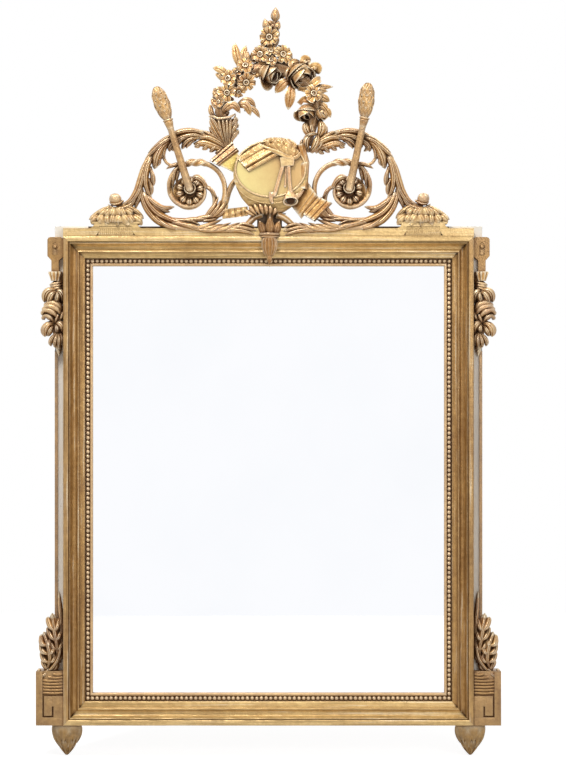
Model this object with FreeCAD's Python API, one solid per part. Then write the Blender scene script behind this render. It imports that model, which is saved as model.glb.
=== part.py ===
import FreeCAD
import Part
import math
import os

# A wall mirror in a carved and gilded frame with an openwork crest.
# Frame: millimetres, +Z up, the front faces -Y and the wall is the plane Y = 0. The origin is on the wall
# face, on the frame's centre line and level with the middle of the glass.

Vector = FreeCAD.Vector
FRONT = Vector(0, -1, 0)

# ---------------------------------------------------------------- driving dimensions
SIGHT_W = 698.0            # visible glass
SIGHT_H = 855.0
MOULDING_W = 61.0          # outer edge to sight edge, pearl strip included
PEARL_STRIP_W = 13.0
BOARD_T = 8.0              # backboards, nailed over the back of the carcass
CARCASS_T = 24.0           # pine back frame
MOULDING_T = 30.0          # highest point of the moulding above the carcass
WING_W = 19.0              # how far the carcass shows beside the moulding
CREST_RAIL_H = 16.0        # board that carries the crest
CARCASS_RISE = 5.5         # how far the carcass stands above that board
CREST_SHIFT = 2.0          # the crest stands this far right of the frame's centre line

GLASS_T = 4.0
GLASS_BITE = 8.0           # glass hidden behind the pearl strip
TENON_L = 45.0
TENON_T = 8.0
TENON_SHOULDER = 10.0
PEG_R = 3.5
BOARD_LAP = 16.0           # backboard that lies on the carcass
NAIL_SHANK = 2.6
NAIL_HEAD = 6.0
NAIL_HEAD_T = 1.2
NAIL_L = 22.0

# ---------------------------------------------------------------- worked-out places
HALF_W = SIGHT_W / 2 + MOULDING_W
HALF_H = SIGHT_H / 2 + MOULDING_W
CARCASS_BACK = -BOARD_T
CARCASS_FRONT = CARCASS_BACK - CARCASS_T
MOULDING_FRONT = CARCASS_FRONT - MOULDING_T
REBATE_HALF_W = HALF_W - (MOULDING_W - PEARL_STRIP_W)
REBATE_HALF_H = HALF_H - (MOULDING_W - PEARL_STRIP_W)
CARCASS_HALF_W = HALF_W + WING_W
CREST_Z = HALF_H + CREST_RAIL_H
CARCASS_TOP = CREST_Z + CARCASS_RISE
GLASS_FRONT = CARCASS_FRONT - 6.0
GLASS_BACK = GLASS_FRONT + GLASS_T

NODES = {}


# ---------------------------------------------------------------- filing the nodes
def keep(name, *shapes):
    """Files the shapes under a node's name, as separate solids."""
    solids = []
    for shape in shapes:
        solids += shape.Solids
    NODES[name] = solids[0] if len(solids) == 1 else Part.makeCompound(solids)
    return NODES[name]


def seated(shape, names, crumb=40.0):
    """The shape cut to sit against nodes that are already filed. Crumbs that the cut leaves are
    dropped."""
    for name in names:
        other = NODES[name]
        if shape.BoundBox.intersect(other.BoundBox):
            shape = shape.cut(other)
    solids = [s for s in shape.Solids if s.Volume > crumb]
    return solids[0] if len(solids) == 1 else Part.makeCompound(solids)


def both_sides(name, shape, middle=0.0):
    """Files a shape as the right one of a pair and its mirror image as the left one."""
    keep(name + "_right", shape)
    keep(name + "_left", shape.mirror(Vector(middle, 0, 0), Vector(1, 0, 0)))


# ---------------------------------------------------------------- joinery shapes
def box(x0, x1, y0, y1, z0, z1):
    """A box between two corners, given in any order."""
    low = Vector(min(x0, x1), min(y0, y1), min(z0, z1))
    return Part.makeBox(abs(x1 - x0), abs(y1 - y0), abs(z1 - z0), low)


def run_of(pieces, place):
    """A closed wire of straight runs and arcs. A piece is an (a, b) point, or ("arc", (a, b)) for a
    point that the curve passes on its way to the next one; place turns (a, b) into space."""
    edges, start, through = [], None, None
    for piece in pieces + pieces[:1]:
        if piece[0] == "arc":
            through = place(*piece[1])
            continue
        point = place(*piece)
        if start is not None and through is not None:
            edges.append(Part.Arc(start, through, point).toShape())
        elif start is not None:
            edges.append(Part.makeLine(start, point))
        start, through = point, None
    return Part.Wire(edges)


def plate(outline, y_back, y_front):
    """An outline of (x, z) pieces as a solid between two depths."""
    wire = run_of(outline, lambda x, z: Vector(x, y_back, z))
    return Part.Face(wire).extrude(Vector(0, y_front - y_back, 0))


def prism(outline, x0, x1):
    """An outline of (y, z) points as a solid between two places along X."""
    wire = run_of(outline, lambda y, z: Vector(x0, y, z))
    return Part.Face(wire).extrude(Vector(x1 - x0, 0, 0))


def joined(shapes):
    """Overlapping pieces of one carving as one solid."""
    return shapes[0].multiFuse(shapes[1:]).removeSplitter() if len(shapes) > 1 else shapes[0]


# ---------------------------------------------------------------- carver's shapes
def facets(corner_lists):
    """A closed solid of flat facets. A four-cornered facet that isn't flat is split in two."""
    faces = []
    for corners in corner_lists:
        corners = [c for i, c in enumerate(corners) if (c - corners[i - 1]).Length > 1e-6]
        if len(corners) < 3:
            continue
        split = [corners]
        if len(corners) == 4:
            normal = (corners[1] - corners[0]).cross(corners[2] - corners[0])
            if normal.Length < 1e-6 or abs(normal.normalize().dot(corners[3] - corners[0])) > 1e-7:
                split = [corners[:3], [corners[0], corners[2], corners[3]]]
        faces += [Part.Face(Part.makePolygon(c + c[:1])) for c in split]
    solid = Part.Solid(Part.Shell(faces))
    if solid.Volume < 0:
        solid.reverse()
    return solid


def between(ring_a, ring_b):
    """The facets that join two rings of corners."""
    count = len(ring_a)
    return [[ring_a[i], ring_a[(i + 1) % count], ring_b[(i + 1) % count], ring_b[i]]
            for i in range(count)]


def spun(profile, centre, axis, sides=10, flatten=1.0):
    """A faceted round piece: (radius, height) points turned about an axis through a centre. A radius of
    0 is a point. flatten squeezes it from front to back."""
    turn = FreeCAD.Rotation(Vector(0, 0, 1), Vector(*axis))
    centre = Vector(*centre)
    rings = []
    for radius, height in profile:
        ring = []
        for i in range(sides):
            angle = 2 * math.pi * (i + 0.5) / sides
            corner = turn.multVec(Vector(radius * math.cos(angle), radius * math.sin(angle), height))
            ring.append(centre + Vector(corner.x, corner.y * flatten, corner.z))
        rings.append(ring)
    faces = []
    for ring_a, ring_b in zip(rings, rings[1:]):
        faces += between(ring_a, ring_b)
    for ring, (radius, _) in ((rings[0], profile[0]), (rings[-1], profile[-1])):
        if radius > 0:
            faces.append(ring)
    return facets(faces)


def line_through(points, count):
    """Evenly spaced points on a smooth line, and the direction at each."""
    curve = Part.BSplineCurve()
    curve.interpolate([Vector(*p) for p in points])
    places = curve.toShape().discretize(count)
    ways = []
    for i in range(count):
        ways.append((places[min(i + 1, count - 1)] - places[max(i - 1, 0)]).normalize())
    return places, ways


STEM = [(-0.42, 0.0), (-0.5, 0.45), (0.0, 1.0), (0.5, 0.45), (0.42, 0.0)]


def stem(points, count, widths, depth):
    """A carved stem along a line: flat at the back, ridged in front. widths are at the start and the
    end."""
    places, ways = line_through(points, count)
    rings = []
    for i, (place, way) in enumerate(zip(places, ways)):
        side = way.cross(FRONT).normalize()
        width = widths[0] + (widths[1] - widths[0]) * i / (count - 1)
        if 0 < i < count - 1:
            leg = (places[i + 1] - place).normalize()
            width /= max(leg.dot(way), 0.5)
        rings.append([place + side * (a * width) + FRONT * (b * depth) for a, b in STEM])
    faces = [rings[0], rings[-1]]
    for ring_a, ring_b in zip(rings, rings[1:]):
        faces += between(ring_a, ring_b)
    return facets(faces)


def leaf(points, left, right, lobes, rise, edge=0.0, full=0.5, notch=0.6, lean=0.35):
    """A carved leaf along its midrib, with a number of lobes on each side. left and right are its
    greatest widths from the midrib, full is the share of its length where they come, rise is the
    midrib's height in front, and edge is the thickness left at the rim."""
    count = 2 * lobes + 2 if lobes else 5
    spine, ways = line_through(points, count)
    rows = []
    for i, (place, way) in enumerate(zip(spine, ways)):
        share = i / (count - 1)
        swell = math.sin(math.pi * share ** (math.log(0.5) / math.log(full)))
        reach = swell if lobes == 0 or i % 2 else swell * notch
        side = FRONT.cross(way).normalize()
        forward = way * (lean * reach * (1 if lobes and i % 2 else 0))
        rows.append((place + side * (left * reach) + forward * left,
                     place + FRONT * (rise * (0.25 + 0.75 * swell)),
                     place - side * (right * reach) + forward * right))
    ends = (0, count - 1)
    front = FRONT * edge
    faces = []
    for i in range(count - 1):
        a, b = rows[i], rows[i + 1]
        ridge_a = spine[i] + front if i in ends else a[1] + front
        ridge_b = spine[i + 1] + front if i + 1 in ends else b[1] + front
        faces.append([ridge_a, ridge_b, b[0] + front])
        faces.append([ridge_a, b[0] + front, a[0] + front])
        faces.append([ridge_a, b[2] + front, ridge_b])
        faces.append([ridge_a, a[2] + front, b[2] + front])
        faces.append([a[0], b[0], b[0] + front, a[0] + front])
        faces.append([a[2], a[2] + front, b[2] + front, b[2]])
        faces.append([a[0], a[2], b[2], b[0]])
    return facets(faces)


def blossom(x, y, z, radius, petals, depth, turn=0.0, hollow=0.0):
    """A flower that faces the front: a ring of petals, a second ring between them and a button or a
    hollow."""
    def ring(share, valley, ahead, shift):
        corners = []
        for i in range(2 * petals):
            angle = math.pi * (i + shift) / petals + math.radians(turn)
            reach = radius * share * (1.0 if i % 2 == 0 else valley)
            corners.append(Vector(x + reach * math.cos(angle), y - ahead * depth,
                                  z + reach * math.sin(angle)))
        return corners
    outer = ring(1.0, 0.8, 0.0, 0)
    middle = ring(0.65, 0.8, 1.0, 1)
    inner = ring(0.3, 1.0, 0.8 - hollow, 0)
    return facets([outer, inner] + between(outer, middle) + between(middle, inner))


# ---------------------------------------------------------------- carcass, back and glass
def make_carcass():
    """Pine back frame, tenoned and pegged. Its edges show beside and above the moulding."""
    ends = (("carcass_rail_top", REBATE_HALF_H, CARCASS_TOP),
            ("carcass_rail_bottom", -HALF_H, -REBATE_HALF_H))
    middle = (CARCASS_BACK + CARCASS_FRONT) / 2
    reach = REBATE_HALF_W + TENON_L
    rails, pegs = {}, []
    for name, low, high in ends:
        rail = box(-REBATE_HALF_W, REBATE_HALF_W, CARCASS_BACK, CARCASS_FRONT, low, high)
        tenon = box(-reach, reach, middle - TENON_T / 2, middle + TENON_T / 2,
                    low + TENON_SHOULDER, high - TENON_SHOULDER)
        rails[name] = rail.fuse(tenon).removeSplitter()
        for side in (-1, 1):
            at = (side * (REBATE_HALF_W + TENON_L / 2), CARCASS_BACK, (low + high) / 2)
            pegs.append(spun([(PEG_R, 0), (PEG_R, CARCASS_T)], at, (0, -1, 0), 8))
    all_pegs = Part.makeCompound(pegs)
    for name, rail in rails.items():
        keep(name, rail.cut(all_pegs))
    stile = box(REBATE_HALF_W, CARCASS_HALF_W, CARCASS_BACK, CARCASS_FRONT, -HALF_H, CARCASS_TOP)
    for rail in rails.values():
        stile = stile.cut(rail)
    both_sides("carcass_stile", stile.cut(all_pegs))
    keep("joint_pegs", *pegs)


def make_back():
    """Three backboards with lapped edges, nailed over the carcass with square forged nails."""
    half_w = REBATE_HALF_W + BOARD_LAP
    half_h = REBATE_HALF_H + BOARD_LAP
    lap = 8.0
    edges = [-half_h + i * 2 * half_h / 3 for i in range(4)]
    nails = []
    for low, high in zip(edges, edges[1:]):
        for side in (-1, 1):
            for z in (low + 45, high - 45):
                x = side * (half_w - BOARD_LAP / 2)
                half = NAIL_SHANK / 2
                shank = box(x - half, x + half, 0, -NAIL_L, z - half, z + half)
                half = NAIL_HEAD / 2
                head = box(x - half, x + half, 0, -NAIL_HEAD_T, z - half, z + half)
                nails.append(shank.fuse(head).removeSplitter())
    all_nails = Part.makeCompound(nails)
    for i, name in enumerate(("backboard_bottom", "backboard_middle", "backboard_top")):
        board = box(-half_w, half_w, 0, CARCASS_BACK, edges[i], edges[i + 1])
        if i < 2:
            board = board.cut(box(-half_w, half_w, -BOARD_T / 2, 0, edges[i + 1] - lap, edges[i + 1]))
        if i > 0:
            tongue = box(-half_w, half_w, -BOARD_T / 2, 0, edges[i] - lap, edges[i])
            board = board.fuse(tongue).removeSplitter()
        keep(name, board.cut(all_nails))
    for name in ("carcass_stile_left", "carcass_stile_right"):
        keep(name, NODES[name].cut(all_nails))
    keep("backboard_nails", *nails)


def make_glass():
    """The silvered plate behind the pearl strip, held by small glue blocks."""
    half_w = SIGHT_W / 2 + GLASS_BITE
    half_h = SIGHT_H / 2 + GLASS_BITE
    keep("mirror_glass", box(-half_w, half_w, GLASS_BACK, GLASS_FRONT, -half_h, half_h))
    length, width, thick = 40.0, 11.0, 14.0
    blocks = []
    for side in (-1, 1):
        for z in (-0.62 * half_h, 0.0, 0.62 * half_h):
            blocks.append(box(side * (REBATE_HALF_W - width), side * REBATE_HALF_W,
                              GLASS_BACK, GLASS_BACK + thick, z - length / 2, z + length / 2))
        for x in (-0.5 * half_w, 0.5 * half_w):
            blocks.append(box(x - length / 2, x + length / 2, GLASS_BACK, GLASS_BACK + thick,
                              side * (REBATE_HALF_H - width), side * REBATE_HALF_H))
    keep("glass_blocks", *blocks)


HANGER_X = 403.5
HANGER_Z = 316.0           # pivot of the hanger's ring
HANGER_PLATE = (20.0, 50.0, 1.5)
PIVOT_Y = -4.0
RING_WIRE = 1.5            # radius
RING_HALF = 14.0
RING_DROP = 23.0
PIVOT_CLEARANCE = 0.08


def make_hangers():
    """Iron strap with a ring that swings in its knuckle, screwed on the back of each stile."""
    width, length, thick = HANGER_PLATE
    plate_front = CARCASS_BACK
    plate_back = plate_front + thick
    strap = box(HANGER_X - width / 2, HANGER_X + width / 2, plate_front, plate_back, HANGER_Z - length,
                HANGER_Z)
    screws = []
    for drop in (17.0, 39.0):
        at = (HANGER_X, plate_back, HANGER_Z - drop)
        screws.append(spun([(4.0, 0), (2.0, 1.5), (2.0, 14.0), (0, 17.0)], at, (0, -1, 0), 4))
    knuckle = spun([(3.2, 0), (3.2, width)], (HANGER_X - width / 2, PIVOT_Y, HANGER_Z), (1, 0, 0), 8)
    bore = Part.makeCylinder(RING_WIRE + PIVOT_CLEARANCE, width + 2,
                             Vector(HANGER_X - width / 2 - 1, PIVOT_Y, HANGER_Z), Vector(1, 0, 0))
    strap = strap.fuse(knuckle).removeSplitter().cut(bore)
    strap = strap.cut(Part.makeCompound(screws))
    both_sides("hanger_strap", strap)
    stile = NODES["carcass_stile_right"].cut(Part.makeCompound(screws))
    both_sides("carcass_stile", stile)
    keep("hanger_screws", *(screws + [s.mirror(Vector(0, 0, 0), Vector(1, 0, 0)) for s in screws]))
    bar = Part.makeCylinder(RING_WIRE, 2 * RING_HALF, Vector(HANGER_X - RING_HALF, PIVOT_Y, HANGER_Z),
                            Vector(1, 0, 0))
    bow = [(HANGER_X + RING_HALF * math.cos(math.radians(a)), PIVOT_Y,
            HANGER_Z + RING_HALF - RING_DROP + RING_HALF * math.sin(math.radians(a)))
           for a in (-180, -145, -108, -72, -35, 0)]
    bow = [(HANGER_X - RING_HALF, PIVOT_Y, HANGER_Z)] + bow + [(HANGER_X + RING_HALF, PIVOT_Y, HANGER_Z)]
    both_sides("hanger_ring", joined([bar, wire(bow, RING_WIRE, 6)]))


def wire(points, radius, sides):
    """Round wire bent along straight legs, mitred at the bends."""
    places = [Vector(*p) for p in points]
    rings = []
    for i, place in enumerate(places):
        into = (place - places[i - 1]).normalize() if i else (places[1] - place).normalize()
        out = (places[i + 1] - place).normalize() if i < len(places) - 1 else into
        way = (into + out).normalize()
        side = way.cross(FRONT).normalize()
        stretch = 1 / max(way.dot(into), 0.5)
        rings.append([place + side * (radius * stretch * math.cos(a)) + FRONT * (radius * math.sin(a))
                      for a in (2 * math.pi * (j + 0.5) / sides for j in range(sides))])
    faces = [rings[0], rings[-1]]
    for ring_a, ring_b in zip(rings, rings[1:]):
        faces += between(ring_a, ring_b)
    return facets(faces)


# ---------------------------------------------------------------- mouldings and pearl strips
FILLET_W = 11.5            # flat outer fillet
COVE_START = 13.0
COVE_END = 30.0            # where the hollow ends at the small inner fillet
BAND_START = 35.0          # flat inner band
BAND_H = 15.0
COVE_H = 18.0


def mitred_rails(name, section):
    """Four lengths of a moulding that meet at mitres. A section is (distance in from the outer edge,
    height above the carcass) pieces."""
    deep = MOULDING_W + 10
    top = Part.Face(run_of(section, lambda u, h: Vector(-HALF_W, CARCASS_FRONT - h, HALF_H - u)))
    side = Part.Face(run_of(section, lambda u, h: Vector(HALF_W - u, CARCASS_FRONT - h, -HALF_H)))
    corner_top = [(-HALF_W, HALF_H), (HALF_W, HALF_H), (HALF_W - deep, HALF_H - deep),
                  (deep - HALF_W, HALF_H - deep)]
    corner_side = [(HALF_W, HALF_H), (HALF_W, -HALF_H), (HALF_W - deep, deep - HALF_H),
                   (HALF_W - deep, HALF_H - deep)]
    top = top.extrude(Vector(2 * HALF_W, 0, 0)).common(plate(corner_top, 20, -120))
    keep(name + "_top", top)
    keep(name + "_bottom", top.mirror(Vector(0, 0, 0), Vector(0, 0, 1)))
    both_sides(name, side.extrude(Vector(0, 0, 2 * HALF_H)).common(plate(corner_side, 20, -120)))


def make_mouldings():
    """The outer fillet, hollow, small fillet and flat band, and inside them the strip of pearls."""
    inner = MOULDING_W - PEARL_STRIP_W
    mitred_rails("moulding", [
        (0, 0), (0, MOULDING_T), (FILLET_W, MOULDING_T), (FILLET_W, MOULDING_T - 3),
        (COVE_START, MOULDING_T - 3), ("arc", (22.5, COVE_H)), (COVE_END, COVE_H + 5),
        (COVE_END + 2.5, COVE_H + 5),
        ("arc", (COVE_END + 3.2, BAND_H + 1.5)), (BAND_START, BAND_H), (inner, BAND_H - 1), (inner, 0)])
    glass_h = CARCASS_FRONT - GLASS_FRONT
    channel = glass_h + 3.0
    pearl_r = 4.4
    middle = inner + 5.8
    row = [(middle + pearl_r * math.cos(a), channel + pearl_r * math.sin(a))
           for a in (math.radians(180 - 36 * i) for i in range(6))]
    mitred_rails("pearl_strip", [(inner, glass_h), (inner, channel)] + row + [
        (MOULDING_W - 2.2, channel), (MOULDING_W - 2.0, channel + 2.0), (MOULDING_W - 0.8, channel + 2.0),
        (MOULDING_W, glass_h + 1.0), (MOULDING_W, glass_h)])


# ---------------------------------------------------------------- wings
KEY_BLOCK_OUT = 464.5      # outer edge of the key block
KEY_BLOCK_H = 108.0
KEY_BLOCK_FRONT = -58.0
EDGE_W = 6.0               # gilt edge of the wing
EDGE_T = 4.0
STRAP_X = 427.5
STRAP_FRONT = CARCASS_FRONT - 12.0
FOOT_X = 403.0


def make_wings():
    """What stands beside the moulding: gilt edge, strap and flower drop, and below them the leaf, the
    key block and the pendant under it. Each is made on the right and mirrored to the left."""
    block_top = -HALF_H + KEY_BLOCK_H
    both_sides("key_block", make_key_block(block_top))
    strap = plate([(411, 448), (411, 483), (413, 486.5), (417, 488), (437, 488), (441, 486.5),
                   (443, 483), (443, 450), (435, 441), (435, 414), (420, 414), (420, 441)],
                  CARCASS_FRONT, STRAP_FRONT)
    well = STRAP_FRONT + 6
    strap = strap.cut(plate([(422, 452), (422, 470), (424, 475), (427.5, 477), (431, 475),
                             (433, 470), (433, 452)], well, STRAP_FRONT - 5))
    strap = strap.fuse(box(STRAP_X - 3, STRAP_X + 3, well, STRAP_FRONT - 1, 452, 463)).removeSplitter()
    both_sides("strap", strap)
    nails = [spun([(2.2, 0), (2.2, 3), (4.2, 5), (3.4, 7.5), (0, 8.5)], (side * STRAP_X, well, 468),
                  (0, -1, 0), 8)
             for side in (-1, 1)]
    keep("strap_nails", *nails)
    both_sides("flower_drop", seated(make_flower_drop(), ["strap_right"]))
    both_sides("wing_leaf", seated(make_wing_leaf(block_top), ["key_block_right"]))
    edge = box(CARCASS_HALF_W - EDGE_W, CARCASS_HALF_W, CARCASS_FRONT, CARCASS_FRONT - EDGE_T,
               block_top, 446)
    edge = seated(edge, ["strap_right", "flower_drop_right", "wing_leaf_right"])
    keep("wing_edges", edge, edge.mirror(Vector(0, 0, 0), Vector(1, 0, 0)))
    foot = [(27, 0), (30.5, 9), (29.5, 20), (25, 33), (17, 46), (8, 57), (0, 62.5)]
    both_sides("pendant_foot", spun(foot, (FOOT_X, CARCASS_FRONT - 6, -HALF_H), (0, 0, -1), 10, 0.62))


def make_flower_drop():
    """Bell, ring, small flower, large rose, leaves and bud, carved as one hanging drop."""
    back = CARCASS_FRONT
    x = STRAP_X
    pieces = [
        spun([(8, 0), (13.5, 20)], (x, back - 9, 398), (0, 0, 1), 6, 0.8),
        spun([(9, 0), (12.5, 6), (9, 16)], (x, back - 9, 383), (0, 0, 1), 6, 0.8),
        blossom(x + 2, back, 368, 19, 5, 22, 20),
        blossom(x + 5, back, 335, 24, 5, 28, 50),
        spun([(5, 0), (8.5, 6), (8.5, 12), (4.5, 18)], (x - 3, back - 7, 285), (0, 0, -1), 6, 0.8),
        spun([(2, 0), (4.2, 5), (2, 10)], (x - 7, back - 6, 269), (0, 0, -1), 5),
        plate([(411, 425), (440, 425), (436, 268), (420, 252), (411, 262)], back, back - 5),
    ]
    for tip_x, tip_z, width in ((456, 288, 9), (440, 276, 7), (416, 284, 8)):
        pieces.append(leaf([(x + 3, back, 322), ((x + 3 + tip_x) / 2 + 2, back, (322 + tip_z) / 2 + 3),
                            (tip_x, back - 4, tip_z)], width, width, 0, 13))
    return joined(pieces).common(box(HALF_W, 500, back, -120, 200, 480))


def make_wing_leaf(low):
    """Leaf with two tips that grows up from the key block against the frame."""
    back = CARCASS_FRONT
    pieces = [
        leaf([(446, back, low - 8), (436, back, -320), (431, back, -268)], 12, 15, 3, 20, 5),
        leaf([(450, back, low - 8), (452, back, -340), (455, back, -304)], 9, 10, 2, 20, 5),
        leaf([(424, back, low), (418, back, -300), (416, back, -222)], 6, 7, 0, 9, 2),
    ]
    return joined(pieces).common(box(HALF_W, 500, back, -120, low, 0))


def make_key_block(top):
    """Block with a Greek key sunk in its face and a stack of reeds above the key."""
    low = -HALF_H
    key_top = low + 62
    rim = KEY_BLOCK_OUT - 9
    floor = KEY_BLOCK_FRONT + 5
    body = box(HALF_W, KEY_BLOCK_OUT, CARCASS_BACK, KEY_BLOCK_FRONT, low, top)
    body = body.cut(box(HALF_W, CARCASS_HALF_W, CARCASS_BACK, CARCASS_FRONT, low, top))
    body = body.cut(box(HALF_W, rim, floor, KEY_BLOCK_FRONT - 5, key_top, top))
    groove = 4.0
    turns = [(rim - groove, rim, low + 14, key_top), (421, rim, low + 14, low + 14 + groove),
             (421, 421 + groove, low + 14, low + 50), (421, 444, low + 46, low + 50),
             (440, 444, low + 28, low + 50), (431, 444, low + 28, low + 32)]
    for x0, x1, z0, z1 in turns:
        body = body.cut(box(x0, x1, floor, KEY_BLOCK_FRONT - 5, z0, z1))
    pieces = [body]
    pitch = (top - 4 - key_top) / 6
    for i in range(6):
        z = key_top + i * pitch
        reed = [(floor, z), (floor - 3.8, z + pitch * 0.2), (floor - 3.8, z + pitch * 0.8),
                (floor, z + pitch)]
        pieces.append(prism(reed, HALF_W, rim))
    return joined(pieces)


# ---------------------------------------------------------------- crest rail and batten
RAIL_FRONT = MOULDING_FRONT + 3.0
PEDESTAL_X = 307.0         # middle of a pedestal from the crest's centre line
PEDESTAL_HALF = 48.0
PEDESTAL_RISE = 13.0
BATTEN_HALF = 25.0
BATTEN_T = 12.0


def make_crest_rail():
    """Board on top of the frame, which steps up in ogees to two fluted pedestals."""
    outline = [(-HALF_W, HALF_H), (-HALF_W, CREST_Z)]
    top = CREST_Z + PEDESTAL_RISE
    for side in (-1, 1):
        middle = CREST_SHIFT + side * PEDESTAL_X
        left, right = middle - PEDESTAL_HALF, middle + PEDESTAL_HALF
        outline += [(left - 8, CREST_Z), ("arc", (left + 1, CREST_Z + 2.5)), (left + 5, top - 4),
                    (left, top - 4), (left, top), (right, top), (right, top - 4), (right - 5, top - 4),
                    ("arc", (right - 1, CREST_Z + 2.5)), (right + 8, CREST_Z)]
    outline += [(HALF_W, CREST_Z), (HALF_W, HALF_H)]
    rail = plate(outline, CARCASS_FRONT, RAIL_FRONT)
    for side in (-1, 1):
        middle = CREST_SHIFT + side * PEDESTAL_X
        low, high = HALF_H + 1.5, top - 9
        panel = [(middle - 40, low), ("arc", (middle - 35, low + 6)), (middle - 33, high),
                 (middle + 33, high), ("arc", (middle + 35, low + 6)), (middle + 40, low)]
        rail = rail.cut(plate(panel, RAIL_FRONT + 4, RAIL_FRONT - 5))
        reeds = [box(middle + x - 2.4, middle + x + 2.4, RAIL_FRONT + 4, RAIL_FRONT + 1.5, low, high - 2)
                 for x in (-25, -15, -5, 5, 15, 25)]
        rail = rail.fuse(reeds).removeSplitter()
    keep("crest_rail", rail)


def make_crest_batten():
    """Board let into the top of the carcass, which the middle of the crest is screwed to from behind."""
    low = REBATE_HALF_H + 12
    batten = box(CREST_SHIFT - BATTEN_HALF, CREST_SHIFT + BATTEN_HALF,
                 CARCASS_FRONT + BATTEN_T, CARCASS_FRONT, low, CREST_Z + 140)
    keep("carcass_rail_top", NODES["carcass_rail_top"].cut(batten))
    screws = []
    for z in (CREST_Z + 60, CREST_Z + 120):
        at = (CREST_SHIFT, CARCASS_FRONT + BATTEN_T + 2.5, z)
        screws.append(spun([(3.5, 0), (5.0, 1.0), (5.0, 2.5), (2.2, 2.5), (2.2, 24), (0, 28)], at,
                           (0, -1, 0), 8))
    keep("crest_screws", *screws)
    keep("crest_batten", batten.cut(Part.makeCompound(screws)))


# ---------------------------------------------------------------- crest carving
CARVING_BACK = CARCASS_FRONT - 1.0
DRUM_X = 2.0               # the drum's middle, from the crest's centre line
DRUM_LEAN = 0.12


def on_crest(points, ahead=0.0):
    """(x, z) or (x, z, ahead) places on the crest, measured from its centre line and the top of its
    rail. ahead is how far in front of the carving's back they are."""
    places = []
    for point in points:
        x, z = point[:2]
        forward = ahead + (point[2] if len(point) > 2 else 0.0)
        places.append((CREST_SHIFT + x, CARVING_BACK - forward, CREST_Z + z))
    return places


def crest_leaf(points, left, right, lobes, rise, ahead=0.0, **shape):
    return leaf(on_crest(points, ahead), left, right, lobes, rise, **shape)


def crest_blossom(x, z, radius, petals, depth, ahead=0.0, **shape):
    place = on_crest([(x, z)], ahead)[0]
    return blossom(place[0], place[1], place[2], radius, petals, depth, **shape)


def make_scroll():
    """Half of the openwork: the leafy C scroll, the volute inside it, and the tail that curls up into a
    bud."""
    volute = [(-104, 20), (-90, 44), (-84, 70), (-90, 100), (-112, 124), (-142, 134), (-172, 126),
              (-196, 104), (-203, 78), (-196, 54), (-180, 40), (-158, 39), (-138, 50), (-126, 70)]
    pieces = [
        stem(on_crest([(-100, 168), (-126, 186), (-158, 194), (-190, 188), (-222, 168), (-244, 138),
                       (-254, 104), (-262, 76), (-274, 55), (-292, 43), (-310, 44)]), 12, (16, 11), 16),
        stem(on_crest([(-257, 74), (-250, 50), (-232, 30), (-205, 12), (-170, 3), (-120, 2), (-70, 3)]),
             8, (9, 13), 14),
        stem(on_crest(volute, 2), 16, (10.5, 9), 12),
        stem(on_crest([(-108, 36), (-108, 60), (-116, 76), (-128, 82)], 2), 5, (9, 6), 11),
        stem(on_crest([(-88, 60), (-80, 82), (-66, 100)], 2), 3, (9, 9), 11),
        stem(on_crest([(-216, 150), (-210, 138), (-198, 128), (-180, 124)], 4), 4, (5, 5), 8),
        spun([(6, -12), (11, -7), (12.5, 0), (10, 7), (4, 12)], on_crest([(-310, 58)], 9)[0],
             (0.15, 0, 1), 7),
    ]
    leaves = [
        ([(-98, 163), (-122, 176), (-146, 174), (-166, 158)], 5, 19, 3, 21),
        ([(-150, 186), (-178, 178), (-202, 166), (-210, 150)], 4, 19, 3, 20),
        ([(-190, 184), (-216, 162), (-228, 142), (-230, 120)], 10, 15, 3, 22),
        ([(-226, 156), (-241, 126), (-243, 98), (-236, 66)], 10, 16, 3, 21),
        ([(-262, 84), (-252, 58), (-228, 44), (-192, 46)], 7, 11, 2, 19),
        ([(-256, 66), (-236, 26), (-200, 8), (-160, 4)], 7, 10, 2, 18),
        ([(-190, 6), (-150, 10), (-118, 22), (-92, 22)], 11, 7, 2, 18),
        ([(-122, 6), (-104, 26), (-96, 50), (-102, 72)], 8, 9, 2, 18),
        ([(-130, 2), (-100, 5), (-66, 8), (-18, 3)], 8, 6, 2, 16),
    ]
    for spine, left, right, lobes, rise in leaves:
        pieces.append(crest_leaf(spine, left, right, lobes, rise))
    return joined(pieces)


def make_pedestal_leaves():
    """Mound of leaves that the bud rests on."""
    pieces = [spun([(50, 0), (52, 5), (38, 13), (22, 22), (12, 26)],
                   on_crest([(-PEDESTAL_X, PEDESTAL_RISE)], 12)[0],
                   (0, 0, 1), 10, 0.24)]
    for tip_x, tip_z, width in ((-56, 7, 9), (-42, 18, 9), (42, 18, 9), (56, 7, 9)):
        middle = (-PEDESTAL_X + tip_x * 0.45, PEDESTAL_RISE + tip_z * 0.8 + 4)
        pieces.append(crest_leaf([(-PEDESTAL_X, PEDESTAL_RISE + 3), middle,
                                  (-PEDESTAL_X + tip_x, PEDESTAL_RISE + tip_z)], width, width, 1, 20, 3))
    trim = box(-500, 500, 0, -200, CREST_Z + PEDESTAL_RISE, CREST_Z + 120)
    return joined(pieces).common(trim)


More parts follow.
